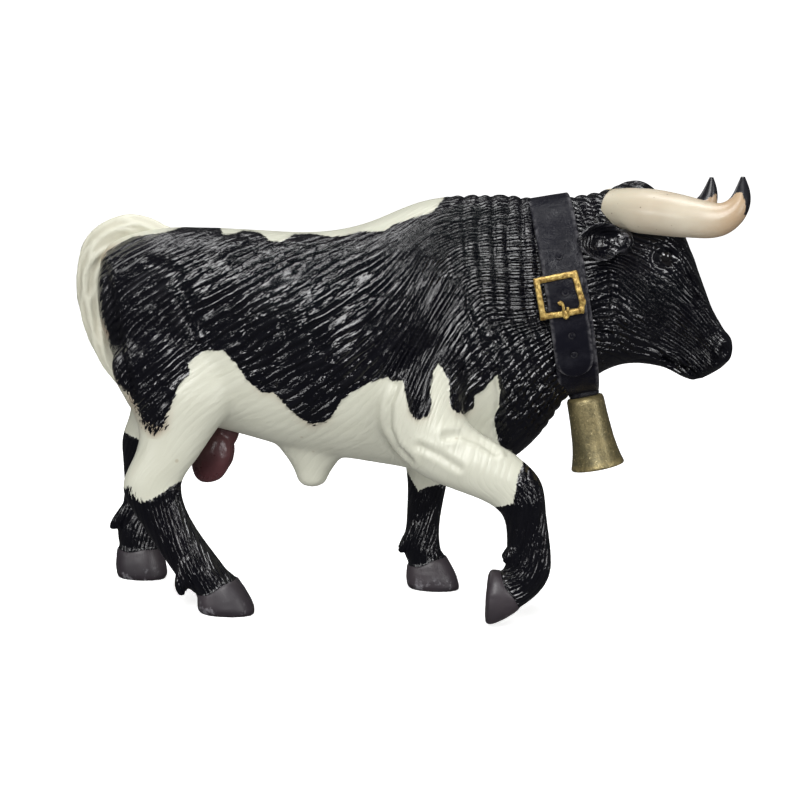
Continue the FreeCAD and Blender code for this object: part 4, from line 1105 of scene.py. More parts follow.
def neck_folds(points):
    """The folds across the neck: how much a point has of them, and their height."""
    sweep = np.interp(points[:, 2], *NECK_SWEEP)
    wobble = grain_noise(points / (2.4, 9.0, 9.0), 5) * 0.5
    along = points[:, 0] - sweep + wobble
    share = smooth_step(along, 7.0, 13.0) * smooth_step(points[:, 2], 36.0, 47.0)
    share *= 0.75 + 0.25 * smooth_step(points[:, 2], 52.0, 84.0)
    return share, np.abs(np.sin(math.pi * along / 3.1)) ** 0.7 - 0.62


def region_of(points, faces, names):
    """For each face, which of the named nodes it is nearest to."""
    places = ((points + FIGURE_SHIFT) * MM).tolist()
    away = []
    for name in names:
        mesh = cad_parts[name].data
        tree = BVHTree.FromPolygons([vertex.co[:] for vertex in mesh.vertices],
                                    [polygon.vertices[:] for polygon in mesh.polygons])
        reach = np.array([tree.find_nearest(place)[3] for place in places])
        away.append(softened(np.tile(reach[:, None], 3), faces, 12)[:, 0])
    away = np.array(away).T
    return away[faces].mean(1).argmin(1)


def hoof_loft(name):
    """The outside of a hoof under a leg, from just inside the leg to the sole."""
    top_x, top_z, top_lean, top_depth, sole_x, sole_z, sole_lean, length = HOOVES[name]
    y = LIMB_ROWS[name][-1][1]
    rings = []
    for share, size in HOOF_STEPS:
        kept = max(share, 0.0)
        middle = np.array((top_x + (sole_x - top_x) * share, y, top_z + (sole_z - top_z) * share))
        depth = (top_depth + (length - top_depth) * kept) * size
        width = (8.0 + 1.5 * kept) * size
        ahead = slope(top_lean + (sole_lean - top_lean) * kept)
        rings.append(ring(middle, ahead * depth / 2, np.array((0.0, width / 2, 0.0)), 64, 0.0, 0.9))
    return loft(rings)


def sole_middle(name):
    """The middle of a hoof's sole."""
    return np.array((HOOVES[name][4], LIMB_ROWS[name][-1][1], HOOVES[name][5]))


def below_coronet(points, name):
    """Millimetres under the line where the leg ends and the hoof begins."""
    top_x, top_z, top_lean = HOOVES[name][:3]
    ahead = slope(top_lean)
    down = np.array((ahead[2], 0.0, -ahead[0]))
    away = points - np.array((top_x, 0.0, top_z))
    along = away @ ahead
    return away @ down + 0.05 * (along ** 2) / 4 + 0.25 * np.sin(along * 0.9)


def cleft(points, normal, name):
    """Sinks the line between the two claws of a hoof."""
    sole = sole_middle(name)
    sole_lean, length = HOOVES[name][6:]
    forward = (points - sole) @ slope(sole_lean) / length
    share = smooth_step(below_coronet(points, name), -0.6, 1.4) * smooth_step(forward, -0.32, 0.05)
    share *= np.exp(-((points[:, 1] - sole[1]) / 0.42) ** 2)
    near = np.linalg.norm(points - sole, axis=1) < 12.0
    return points - normal * (share * near * 0.75)[:, None]


def body_surface(grain):
    """The hide of the trunk and the legs with their hooves, with its muscles and creases."""
    shapes = [slice_loft(TRUNK_ROWS, 140), limb_loft(SHEATH_ROWS, 30)]
    for name, rows in LIMB_ROWS.items():
        shapes.append(limb_loft(rows, 90))
        shapes.append(hoof_loft(name))
        for side in (-1, 1):
            claw = [(x, rows[-1][1] + side * 1.9, z, radius) for x, z, radius in DEWCLAWS[name]]
            shapes.append(tube_through(claw, 20, 24)[0])
    points, faces = fused(shapes, grain)
    low = smooth_step(points[:, 2], 14.0, 42.0)
    points = softened(points, faces, 34, 0.07 + 0.93 * low)
    points = swelled(points, faces, BODY_SWELLS)
    points = creased(points, faces, photo_places(near_side(points)), BODY_CREASES)
    normal = normals_of(points, faces)
    for name in HOOVES:
        points = cleft(points, normal, name)
    points[:, 2] = np.maximum(points[:, 2], 0.0)
    return points, faces


def coat_depth(points, far_share):
    """Millimetres that each point lies inside the black coat; far_share changes the far side's outline."""
    drift = np.stack((14 * np.sin(points[:, 0] / 13 + 1.0), 9 * np.sin(points[:, 0] / 8)), axis=1)
    return inside_depth(photo_places(near_side(points)) + far_share[:, None] * drift, BLACK_COAT)


def stockinged(points, owner, coat):
    """The coat's depths with those of the stockings on the limbs' lower parts; owner numbers the nodes."""
    coat = coat.copy()
    for number, name in enumerate(LIMB_ROWS, 1):
        mine = owner == number
        outline = inside_depth(photo_places(points[mine]), STOCKINGS[name])
        below = points[mine, 2] < STOCKING_TOP
        if name == "hind_left_leg":
            below = points[mine, 2] < FAR_STOCKING_TOP
            outline = np.maximum(np.minimum(coat[mine], -1.0), outline)
        elif name == "front_right_leg":
            below = points[mine, 0] > LIFTED_FOREARM
        coat[mine] = np.where(below, outline, coat[mine])
    return coat


def comb_shanks(points, owner, along, across, length):
    """Turns the comb down the limbs below hock and knee, in place, and returns each point's share of that."""
    shank = np.zeros(len(points))
    for number, name in enumerate(LIMB_ROWS, 1):
        mine = owner == number
        top = LIFTED_SHANK_TOP if name == "front_right_leg" else SHANK_TOP
        share = smooth_step(points[mine, 2], top + 5.0, top - 4.0)
        down, beside = along_limb(points[mine], LIMB_ROWS[name])[1:]
        border = np.abs(share - 0.5) < 0.3
        for field, beyond in ((along, -down), (across, -beside - 0.25 * down)):
            beyond = beyond + (field[mine] - beyond)[border].mean()
            field[mine] = field[mine] * (1 - share) + beyond * share
        length[mine] = length[mine] * (1 - share) + 4.0 * share
        shank[mine] = share
    return shank


def hoof_depth(points, owner):
    """Millimetres that each point lies below its hoof's coronet, and BARE where there is no hoof."""
    hoof = np.full(len(points), BARE)
    for number, name in enumerate(LIMB_ROWS, 1):
        mine = owner == number
        reach = np.linalg.norm((points[mine] - sole_middle(name)) * (1, 0.5, 1), axis=1)
        hoof[mine] = np.where(reach < HOOF_REACH, np.maximum(below_coronet(points[mine], name), BARE), BARE)
    return hoof


def edge_spots(places):
    """How much the coat's edge is brushed out and how much it is sprayed brown at places in the picture."""
    brushed = np.full(len(places), 0.05)
    sprayed = np.zeros(len(places))
    for u, v, reach, brush, spray in EDGE_SPOTS:
        near = np.exp(-((places - (u, v)) ** 2).sum(1) / reach ** 2)
        brushed = np.maximum(brushed, near * brush)
        sprayed = np.maximum(sprayed, near * spray)
    return brushed, sprayed


def worn_spots(places):
    """How much the black is made grey at places in the picture, partly as rubbed wear and partly as painted
    highlight.
    """
    worn = np.full(len(places), 0.06)
    for u, v, ahead, up, amount in WEAR_AND_HIGHLIGHT_SPOTS:
        away = (((places - (u, v)) / (ahead, up)) ** 2).sum(1)
        worn = np.maximum(worn, amount * np.exp(-away))
    return worn


def all_black(count, **values):
    """The values that the hide's paint needs on a piece that is black all over, with the given ones."""
    return {"coat": np.full(count, 9.0), "hoof": np.full(count, BARE), "brushed": np.zeros(count),
            "sprayed": np.zeros(count), **values}


def length_of(name, description, default, low, high):
    """A setting in millimetres."""
    return bpy.props.FloatProperty(name=name, description=description + ", in millimetres", default=default,
                                   min=low, max=high)


def colour_of(name, description, *default):
    """A setting that holds a colour."""
    return bpy.props.FloatVectorProperty(name=name, description=description, subtype="COLOR", size=4,
                                         default=default + (1,), min=0, max=1)


class OX_PG_hide(bpy.types.PropertyGroup):
    """The hide's hair and folds, and the paints of the body"""
    grain: length_of("Grain", "Size of the hide's faces", 0.45, 0.3, 2.0)
    hair_height: length_of("Hair height", "Depth of the hair's grooves on the black coat", 0.10, 0.0, 0.6)
    cream_height: length_of("Cream hair height", "Depth of the hair's grooves on the cream", 0.05, 0.0, 0.6)
    bump_height: length_of("Stroke height", "Depth of the finest strokes of hair", 0.50, 0.0, 0.8)
    fold_height: length_of("Fold height", "Height of the folds on the neck", 1.05, 0.0, 2.0)
    black: colour_of("Black", "Paint of the black coat", 0.0018, 0.0018, 0.0036)
    # Worn black is partly rubbed wear and partly painted highlight on the black's ridge tops and on the ears'
    # rims.
    worn_black: colour_of("Worn and highlight black", "Black paint where the hair's tips are rubbed", 0.045, 0.044, 0.050)
    cream: colour_of("Cream", "Paint of the cream coat", 0.53, 0.53, 0.44)
    # Groove cream is painted shade: the cream is darkened towards it in the hair's grooves.
    groove_shade_cream: colour_of("Groove cream", "Cream paint in the hair's grooves", 0.41, 0.41, 0.31)
    dark_red: colour_of("Dark red", "Paint of the scrotum", 0.040, 0.012, 0.014)
    white: colour_of("White", "Paint of the tail", 0.56, 0.55, 0.45)


class OX_PG_horns(bpy.types.PropertyGroup):
    """The horns' paints"""
    tip_length: length_of("Tip length", "How far the black reaches down from a horn's tip", 5.2, 0.0, 20.0)
    ivory: colour_of("Ivory", "Paint of the horns", 0.56, 0.50, 0.39)


class OX_PG_collar(bpy.types.PropertyGroup):
    """The strap's sizes, and the paints of the collar and the bell"""
    strap_width: length_of("Strap width", "Width of the strap", 9.2, 4.0, 16.0)
    strap_thickness: length_of("Strap thickness", "Thickness of the strap", 1.15, 0.5, 3.0)
    leather: colour_of("Leather", "Paint of the strap", 0.006, 0.006, 0.010)
    gold: colour_of("Gold", "Paint of the buckle", 0.55, 0.39, 0.12)
    bronze: colour_of("Bronze", "Paint of the bell", 0.25, 0.205, 0.10)


class OX_OT_hide(bpy.types.Operator):
    """Makes the hide of the trunk and of the four legs, with their hooves"""
    bl_idname = "ox.hide"
    bl_label = "Hide and legs"

    def execute(self, context):
        settings = context.scene.ox_hide
        names = ["trunk"] + list(LIMB_ROWS)
        points, faces = body_surface(settings.grain)
        region = region_of(points, faces, names)
        owner = np.zeros(len(points), int)
        owner[faces.ravel()] = np.repeat(region, 4)
        normal = normals_of(points, faces)
        sight = photo_places(near_side(points))
        coat = stockinged(points, owner, coat_depth(points, smooth_step(points[:, 1], 1.0, 10.0)))
        length = blended(sight, BODY_LAY)[1]
        along, across = combed(sight, BODY_LAY)
        shank = comb_shanks(points, owner, along, across, length)
        hoof = hoof_depth(points, owner)
        comb = np.stack((along, across, points[:, 1]), axis=1)
        coarse = combed_noise(comb, 9.0, 2.0, 3)
        fine = combed_noise(comb, 4.0, 1.0, 4)
        dark = smooth_step(coat, -0.6, 0.6)
        share, folds = neck_folds(points)
        height = settings.hair_height * dark + settings.cream_height * (1 - dark)
        height *= (1 - 0.45 * shank) * smooth_step(hoof, 0.2, -0.6)
        hair = coarse * 0.60 + fine * 0.15 * dark
        push = height * hair + share * folds * settings.fold_height * 0.6 + share * fine * 0.10
        layers = 0.05 * grain_noise(points / (3.0, 3.0, 0.8), 31) * (hoof > 0.3)
        push += 0.22 * smooth_step(hoof, -0.15, 0.25) + layers
        points = points + normal * push[:, None]
        points[:, 2] = np.maximum(points[:, 2], 0.0)
        normal = normals_of(points, faces)
        brushed, sprayed = edge_spots(sight)
        # The relief darkens the cream in the hair's grooves as painted shade; the wear value greys the black's
        # ridge tops, partly as wear and partly as painted highlight.
        values = {"coat": coat, "relief": hair + share * folds * 1.2, "brushed": brushed, "sprayed": sprayed,
                  "hoof": hoof, "worn": worn_spots(sight), "comb": comb,
                  "long": smooth_step(length, 3.2, 5.0),
                  "hairy": (0.13 + 0.87 * dark) * (1 - 0.2 * share) * (1 - 0.35 * shank)}
        hide = hide_paint(settings)
        for number, name in enumerate(names):
            places, rows, kept, shading = cut_out(points, faces, region == number, values, normal)
            make_piece(name + "_hide", places, rows, [hide], name, kept, shading)
        return {"FINISHED"}


def ringed(points, normal, places, spot, radii, steps):
    """Rings round a spot in the picture: for each step its radius as a share, its breadth and its height."""
    away = np.linalg.norm((places - spot) / (np.array(radii) * PIXELS_PER_MM), axis=1)
    push = np.zeros(len(points))
    for radius, breadth, height in steps:
        push += height * np.exp(-((away - radius) / breadth) ** 2)
    return points + normal * (push * np.clip(np.abs(normal[:, 1]) * 2.5, 0, 1))[:, None]


def eyeballs(points, rows):
    """The two eyes, set in a head's surface: the points, the normals and the faces of each."""
    tree = BVHTree.FromPolygons(points.tolist(), rows)
    balls = []
    for side in (-1, 1):
        beside = Vector((EYE_PLACE[0], side * 30.0, EYE_PLACE[1]))
        hit = tree.ray_cast(beside, Vector((0, -side, 0)))[0]
        middle = (hit.x, hit.y - side * EYE_SINK, hit.z)
        ball, faces = egg(middle, EYE_SIZE, EYE_TURN, 40)
        out = ball - np.array(middle)
        balls.append((ball, out / np.linalg.norm(out, axis=1)[:, None], faces))
    return balls


class OX_OT_head(bpy.types.Operator):
    """Makes the head with its eyes, nostrils and mouth"""
    bl_idname = "ox.head"
    bl_label = "Head"

    def execute(self, context):
        shapes = [slice_loft(HEAD_ROWS, 90)]
        for middle, half, both in HEAD_FORMS:
            for side in ((1, -1) if both else (1,)):
                shapes.append(egg(np.array(middle) * (1, side, 1), half))
        points, faces = moulded(shapes, 0.3, 45)
        points = swelled(points, faces, HEAD_SWELLS)
        sight = photo_places(near_side(points))
        normal = normals_of(points, faces)
        points = creased(points, faces, sight, HEAD_CREASES)
        points = ringed(points, normal, sight, EYE_SPOT, (3.0, 2.3), EYE_RINGS)
        points = ringed(points, normal, sight, NOSTRIL_SPOT, (1.1, 1.5), NOSTRIL_RINGS)
        normal = normals_of(points, faces)
        length = blended(sight, HEAD_LAY)[1]
        comb = np.stack(combed(sight, HEAD_LAY) + [points[:, 1]], axis=1)
        coarse = combed_noise(comb, 6.0, 1.5, 7)
        fine = combed_noise(comb, 1.6, 0.7, 8)
        bare = smooth_step(points[:, 0], 67.5, 70.5) * smooth_step(points[:, 2], 68.0, 64.0)
        from_eye = np.linalg.norm((sight - EYE_SPOT) / PIXELS_PER_MM, axis=1)
        bare = np.maximum(bare, 1 - smooth_step(from_eye, 3.0, 6.5))
        nape = smooth_step(points[:, 0], 47.5, 44.0) * smooth_step(points[:, 2], 76.0, 84.0)
        hair = np.tanh(coarse * 1.3) * 0.6 + fine * 0.15
        folds = np.abs(np.sin(math.pi * (points[:, 0] + 0.35 * (points[:, 2] - 90)) / 2.9)) ** 0.7 - 0.62
        push = 0.12 * hair * (1 - 0.85 * bare) + nape * folds * 0.5
        points = points + normal * push[:, None]
        normal = normals_of(points, faces)
        values = all_black(len(points), relief=hair * (1 - bare), hairy=1 - 0.8 * bare, comb=comb,
                           worn=worn_spots(sight), long=smooth_step(length, 4.0, 6.5))
        rows = face_lists(faces)
        painted = [0] * len(rows)
        for ball, out, ball_faces in eyeballs(points, rows):
            ball_rows = face_lists(ball_faces + len(points))
            rows = rows + ball_rows
            painted += [1] * len(ball_rows)
            points = np.concatenate((points, ball))
            normal = np.concatenate((normal, out))
        values = {key: np.concatenate((row, np.zeros((len(points) - len(row),) + row.shape[1:])))
                  for key, row in values.items()}
        hide = made("painted_hide", hide_paint, context.scene.ox_hide)
        make_piece("head_hide", points, rows, [hide, eye_paint()], "head", values, normal, painted)
        return {"FINISHED"}


def tube_through(rows, count, corners=48):
    """A round tube through rows of middle and radius, and how far along it each of its points is."""
    line = splined(rows, count)
    ahead = np.gradient(line[:, :3], axis=0)
    ahead /= np.linalg.norm(ahead, axis=1)[:, None]
    side = np.array((0.0, 0.0, 1.0))
    rings = []
    for (x, y, z, radius), way in zip(line, ahead):
        side = side - way * (side @ way)
        side /= np.linalg.norm(side)
        radius = max(radius, 0.05)
        rings.append(ring(np.array((x, y, z)), side * radius, np.cross(way, side) * radius, corners))
    steps = np.concatenate(([0.0], np.cumsum(np.linalg.norm(np.diff(line[:, :3], axis=0), axis=1))))
    reach = np.concatenate((np.repeat(steps, corners), (0.0, steps[-1])))
    return loft(rings), reach


class OX_OT_horns(bpy.types.Operator):
    """Makes the two horns"""
    bl_idname = "ox.horns"
    bl_label = "Horns"

    def execute(self, context):
        settings = context.scene.ox_horns
        material = horn_paint(settings)
        corners = 64
        for side, name in ((1, "left_horn"), (-1, "right_horn")):
            (points, faces), reach = tube_through(HORN_ROWS, 120, corners)
            points = roughened(points, faces, 3.0, 0.06, 17)
            corner = np.arange(len(points)) % corners
            seam = np.exp(-((corner - 30 + 2 * np.sin(reach / 5)) / 0.8) ** 2) * smooth_step(reach, 8.0, 14.0)
            tip = reach - (reach[-1] - settings.tip_length) - 1.6 * np.cos((corner - 20) * math.pi / 16)
            if side < 0:
                faces = turned_over(faces)
            values = {"tip": tip / 2, "seam": seam, "root": smooth_step(reach, 12.0, 2.0)}
            make_piece(name + "_shell", points * (1, side, 1), faces, [material], name, values)
        return {"FINISHED"}


def ear_leaf(along, facing, up):
    """The cupped leaf of an ear, of two walls, along its length and with its open side facing."""
    across = np.linspace(-1, 1, 33)
    walls = []
    for wall in (-0.5, 0.5):
        layer = []
        for place, wide in zip(EAR_STRETCH, EAR_BREADTH):
            curl = 3.2 * math.sin(math.pi * min(place * 1.1, 1)) * (across ** 2 - 0.55)
            ridge = 0.18 * np.cos(across * 9.0) * math.sin(math.pi * place)
            thick = wall * (1.15 - 0.5 * place)
            row = EAR_ROOT + np.outer(np.full(33, place * EAR_LENGTH), along) + np.outer(across * wide, up)
            layer.append(row + np.outer(curl + thick + (ridge if wall > 0 else 0), facing))
        walls.append(layer)
    return loft([np.concatenate((back, front[::-1])) for back, front in zip(*walls)])


class OX_OT_ears(bpy.types.Operator):
    """Makes the two cupped ears"""
    bl_idname = "ox.ears"
    bl_label = "Ears"

    def execute(self, context):
        hide = made("painted_hide", hide_paint, context.scene.ox_hide)
        up = np.cross(EAR_AHEAD, EAR_FACING)
        along, facing, up = (axis / np.linalg.norm(axis) for axis in (EAR_AHEAD, EAR_FACING, up))
        stalk = egg(EAR_ROOT - along * 0.4 - facing * 0.6, (2.6, 2.2, 2.8), 0)
        for side, name in ((1, "left_ear"), (-1, "right_ear")):
            points, faces = moulded([ear_leaf(along, facing, up), stalk], 0.26, 5)
            count = len(points)
            normal = normals_of(points, faces)
            lay = lay_directions(np.full(count, math.pi - 0.05), normal)
            hair = streaks(points, lay, np.full(count, 3.0), 0.5, 21)
            points = (points + normal * (hair * 0.07)[:, None]) * (1, side, 1)
            if side < 0:
                faces = turned_over(faces)
            away = points * (1, side, 1) - EAR_ROOT
            # The ear's rim is greyed through the wear value as a painted highlight along its edge.
            rim = np.abs(away @ up) / np.interp(away @ along / EAR_LENGTH, EAR_STRETCH, EAR_BREADTH)
            rim = np.maximum(smooth_step(rim, 0.70, 0.92), smooth_step(away @ along, 10.0, 11.0))
            values = all_black(count, relief=hair * 0.7, hairy=np.full(count, 0.5), worn=0.1 + 1.6 * rim,
                               long=np.zeros(count), comb=points * (1, 1, side))
            make_piece(name + "_hide", points, faces, [hide], name, values, normals_of(points, faces))
        return {"FINISHED"}


def new_growth(name, source, numbers):
    """A geometry group that takes geometry, numbers and a material: its tree, board and inputs."""
    tree = bpy.data.node_groups.new(name, "GeometryNodeTree")
    socket(tree, source, "NodeSocketGeometry")
    for key, default in numbers.items():
        socket(tree, key, "NodeSocketInt" if isinstance(default, int) else "NodeSocketFloat", default)
    socket(tree, "Material", "NodeSocketMaterial")
    socket(tree, "Mesh", "NodeSocketGeometry", output=True)
    board = Board(tree)
    return tree, board, board.put("NodeGroupInput").outputs


def end_growth(board, mesh, material):
    """Puts out a geometry group's mesh, made real and dressed."""
    real = board.put("GeometryNodeRealizeInstances", {"Geometry": mesh}).outputs[0]
    dressed = board.put("GeometryNodeSetMaterial", {"Geometry": real, "Material": material}).outputs[0]
    board.put("NodeGroupOutput", {0: dressed})


def lock_tree():
    """Geometry nodes that lay wavy locks of hair round a curve."""
    tree, board, given = new_growth("Hair locks", "Curve", {"Locks": 13, "Wave": 0.35, "Turns": 0.8,
                                                            "Lock radius": 0.45})
    line = board.put("GeometryNodeResampleCurve", {"Curve": given["Curve"], "Count": 90}).outputs[0]
    copies = board.put("GeometryNodeDuplicateElements", {"Geometry": line, "Amount": given["Locks"]},
                       domain="SPLINE").outputs
    number = copies["Duplicate Index"]
    fraction = board.calc("DIVIDE", number, given["Locks"])
    odd = board.put("FunctionNodeRandomValue", {"ID": number, "Seed": 4}, data_type="FLOAT").outputs[1]
    along = board.put("GeometryNodeSplineParameter").outputs["Factor"]
    phase = board.calc("ADD", board.product(along, 16.0), board.product(fraction, 40.0))
    turn = board.product(board.calc("ADD", fraction, board.product(along, given["Turns"])), 6.2832)
    turn = board.calc("ADD", turn, board.product(board.calc("SINE", phase), given["Wave"]))
    radius = board.put("GeometryNodeInputRadius").outputs[0]
    tangent = board.put("GeometryNodeInputTangent").outputs[0]
    normal = board.put("GeometryNodeInputNormal").outputs[0]
    offset = []
    for kind, way in (("COSINE", normal), ("SINE", board.vector("CROSS_PRODUCT", tangent, normal))):
        reach = board.product(board.calc(kind, turn), radius)
        scaled = board.put("ShaderNodeVectorMath", {0: way, "Scale": reach}, operation="SCALE")
        offset.append(scaled.outputs[0])
    offset = board.vector("ADD", *offset)
    moved = board.put("GeometryNodeSetPosition", {"Geometry": copies[0], "Offset": offset}).outputs[0]
    thick = board.product(given["Lock radius"], board.calc("MULTIPLY_ADD", odd, 0.5, 0.7))
    circle = board.put("GeometryNodeCurvePrimitiveCircle", {"Resolution": 10, "Radius": 1.0})
    thick = board.product(radius, thick)
    shaped = board.put("GeometryNodeSetCurveRadius", {"Curve": moved, "Radius": thick}).outputs[0]
    scale = board.put("GeometryNodeInputRadius").outputs[0]
    mesh = board.put("GeometryNodeCurveToMesh", {"Curve": shaped, "Profile Curve": circle.outputs[0],
                                                 "Scale": scale, "Fill Caps": True})
    end_growth(board, mesh.outputs[0], given["Material"])
    return tree


def grown(name, tree, base, inputs):
    """The points and faces that a geometry tree makes of an object's data."""
    carrier = bpy.data.objects.new(name, base)
    bpy.context.scene.collection.objects.link(carrier)
    modifier = carrier.modifiers.new("grow", "NODES")
    modifier.node_group = tree
    for item in tree.interface.items_tree:
        if item.item_type == "SOCKET" and item.in_out == "INPUT" and item.name in inputs:
            modifier[item.identifier] = inputs[item.name]
    result = bpy.data.meshes.new_from_object(carrier.evaluated_get(bpy.context.evaluated_depsgraph_get()))
    bpy.data.objects.remove(carrier)
    return plain_surface(result)


def plain_surface(mesh):
    """A mesh's points and its faces of three or four corners; larger faces become fans."""
    points = np.zeros(len(mesh.vertices) * 3, np.float32)
    mesh.vertices.foreach_get("co", points)
    faces = []
    for polygon in mesh.polygons:
        corners = list(polygon.vertices)
        if len(corners) == 4:
            faces.append(corners)
        else:
            for i in range(1, len(corners) - 1):
                faces.append([corners[0], corners[i], corners[i + 1], corners[i + 1]])
    return points.reshape(-1, 3).astype(float), np.array(faces)


class OX_OT_tail(bpy.types.Operator):
    """Makes the tail of wavy locks that lies against the rump"""
    bl_idname = "ox.tail"
    bl_label = "Tail"

    def execute(self, context):
        material = tail_paint(context.scene.ox_hide)
        curve = bpy.data.curves.new("tail_line", "CURVE")
        curve.dimensions = "3D"
        line = splined(TAIL_ROWS, 60)
        spline = curve.splines.new("POLY")
        spline.points.add(len(line) - 1)
        for point, (x, y, z, radius) in zip(spline.points, line):
            point.co = (x, y, z, 1)
            point.radius = max(radius * 0.86, 0.05)
        locks = grown("tail_locks", lock_tree(), curve, {"Locks": 13, "Wave": 0.30, "Turns": 0.35,
                                                         "Lock radius": 0.25, "Material": material})
        core = tube_through([(x, y, z, radius * 0.90) for x, y, z, radius in TAIL_ROWS], 90, 40)[0]
        points, faces = moulded([core, locks], 0.28, 7)
        normal = normals_of(points, faces)
        # The relief, how deep a point lies between the locks, sets the tail's painted shade.
        relief = ((points - softened(points, faces, 40)) * normal).sum(1) / 0.25
        lay = lay_directions(along_limb(points, [row[:3] + (0, 0, 0) for row in TAIL_ROWS])[0], normal)
        fine = streaks(points, lay, np.full(len(points), 3.5), 0.4, 23)
        points = points + normal * (fine * 0.045)[:, None]
        make_piece("tail_locks", points, faces, [material], "tail", {"relief": relief - 0.3})
        return {"FINISHED"}


class OX_OT_scrotum(bpy.types.Operator):
    """Makes the scrotum"""
    bl_idname = "ox.scrotum"
    bl_label = "Scrotum"

    def execute(self, context):
        shapes = [egg((-39.3, 0.0, 37.6), (3.6, 3.6, 4.6), -14.0)]
        for side in (-1, 1):
            shapes.append(egg((-41.6, side * 2.3, 32.2), (4.5, 3.1, 6.2), -16.0))
        points, faces = moulded(shapes, 0.26, 12)
        crumple = grain_noise(points / (2.6, 2.6, 3.4), 29) * 0.16 + grain_noise(points / 1.1, 30) * 0.05
        points = points + normals_of(points, faces) * crumple[:, None]
        red = scrotum_paint(context.scene.ox_hide)
        make_piece("scrotum_skin", points, faces, [red], "scrotum")
        return {"FINISHED"}


NECK_AHEAD = slope(NECK_LEAN)
NECK_UP = np.array((-NECK_AHEAD[2], 0.0, NECK_AHEAD[0]))


def on_neck(turn, ahead, out):
    """Places round the neck: turn from the top towards the right side, along the neck, and out from it."""
    middle = NECK_MIDDLE + np.outer(ahead, NECK_AHEAD)
    up = np.outer(np.cos(turn) * (NECK_HEIGHT / 2 + out), NECK_UP)
    aside = np.outer(-np.sin(turn) * (NECK_WIDTH / 2 + out), (0.0, 1.0, 0.0))
    return middle + up + aside


def turn_at(height):
    """The turn at which the near side of the neck is so far above its middle."""
    return math.acos(max(-1.0, min(1.0, height / (NECK_HEIGHT / 2))))


def strap_profile(side, low, high, soft):
    """The strap's outline across it, with half its width, as places along the neck and heights off it."""
    bend = high - soft * 0.3
    profile = [(-side, low), (-side, high - soft), (-side + soft * 0.4, bend), (-side + soft, high)]
    profile += [(place, high) for place in np.linspace(-side + soft, side - soft, 14)[1:-1]]
    profile += [(side - soft, high), (side - soft * 0.4, bend), (side, high - soft), (side, low)]
    return profile + [(place, low) for place in np.linspace(side, -side, 8)[1:-1]]


def rounded_strap(turns, width, low, high, closed, shift=0.0, round_end=0.0):
    """A flat strap round the neck with soft edges, between two heights off it, and the points on its edges."""
    rings = []
    values = []
    soft = min(0.28, (high - low) / 2.2)
    half = width / 2
    line = on_neck(turns, np.zeros(len(turns)), np.zeros(len(turns)))
    length = np.concatenate(([0.0], np.cumsum(np.linalg.norm(np.diff(line, axis=0), axis=1))))
    for turn, reach in zip(turns, length):
        side = half
        left = length[-1] - reach
        if left < round_end:
            curve = math.sqrt(max(0.0, 1 - ((round_end - left) / round_end) ** 2))
            side = half - half * (1 - curve * 0.98)
        profile = strap_profile(side, low, high, soft)
        ahead, out = np.array(profile).T
        rings.append(on_neck(np.full(len(profile), turn), ahead + shift, out))
        values += [1.0 if abs(abs(place) - side) < 0.5 and height > low + 0.1 else 0.0
                   for place, height in profile]
    points, faces = loft(rings)
    values = np.array(values + [0.0, 0.0])
    if closed:
        corners = len(rings[0])
        faces = faces[:(len(rings) - 1) * corners]
        edge = np.arange(corners)
        after = (edge + 1) % corners
        base = (len(rings) - 1) * corners
        faces = np.concatenate((faces, np.stack((base + edge, base + after, after, edge), axis=-1)))
        points = points[:-2]
        values = values[:-2]
    return points, faces, values


def eyelet_tree():
    """Geometry nodes that set a ring on each point, turned to the direction that is stored there."""
    tree, board, given = new_growth("Strap eyelets", "Points", {"Radius": 0.75, "Rim": 0.16})
    circles = []
    for count, radius in ((28, given["Radius"]), (10, given["Rim"])):
        circle = board.put("GeometryNodeCurvePrimitiveCircle", {"Resolution": count, "Radius": radius})
        circles.append(circle.outputs[0])
    rim = board.put("GeometryNodeCurveToMesh", {"Curve": circles[0], "Profile Curve": circles[1]})
    direction = board.put("GeometryNodeInputNamedAttribute", {"Name": "out"}, data_type="FLOAT_VECTOR")
    turned = board.put("FunctionNodeAlignRotationToVector", {"Vector": direction.outputs[0]}, axis="Z")
    placed = board.put("GeometryNodeInstanceOnPoints", {"Points": given["Points"], "Instance": rim.outputs[0],
                                                        "Rotation": turned.outputs[0]})
    end_growth(board, placed.outputs[0], given["Material"])
    return tree


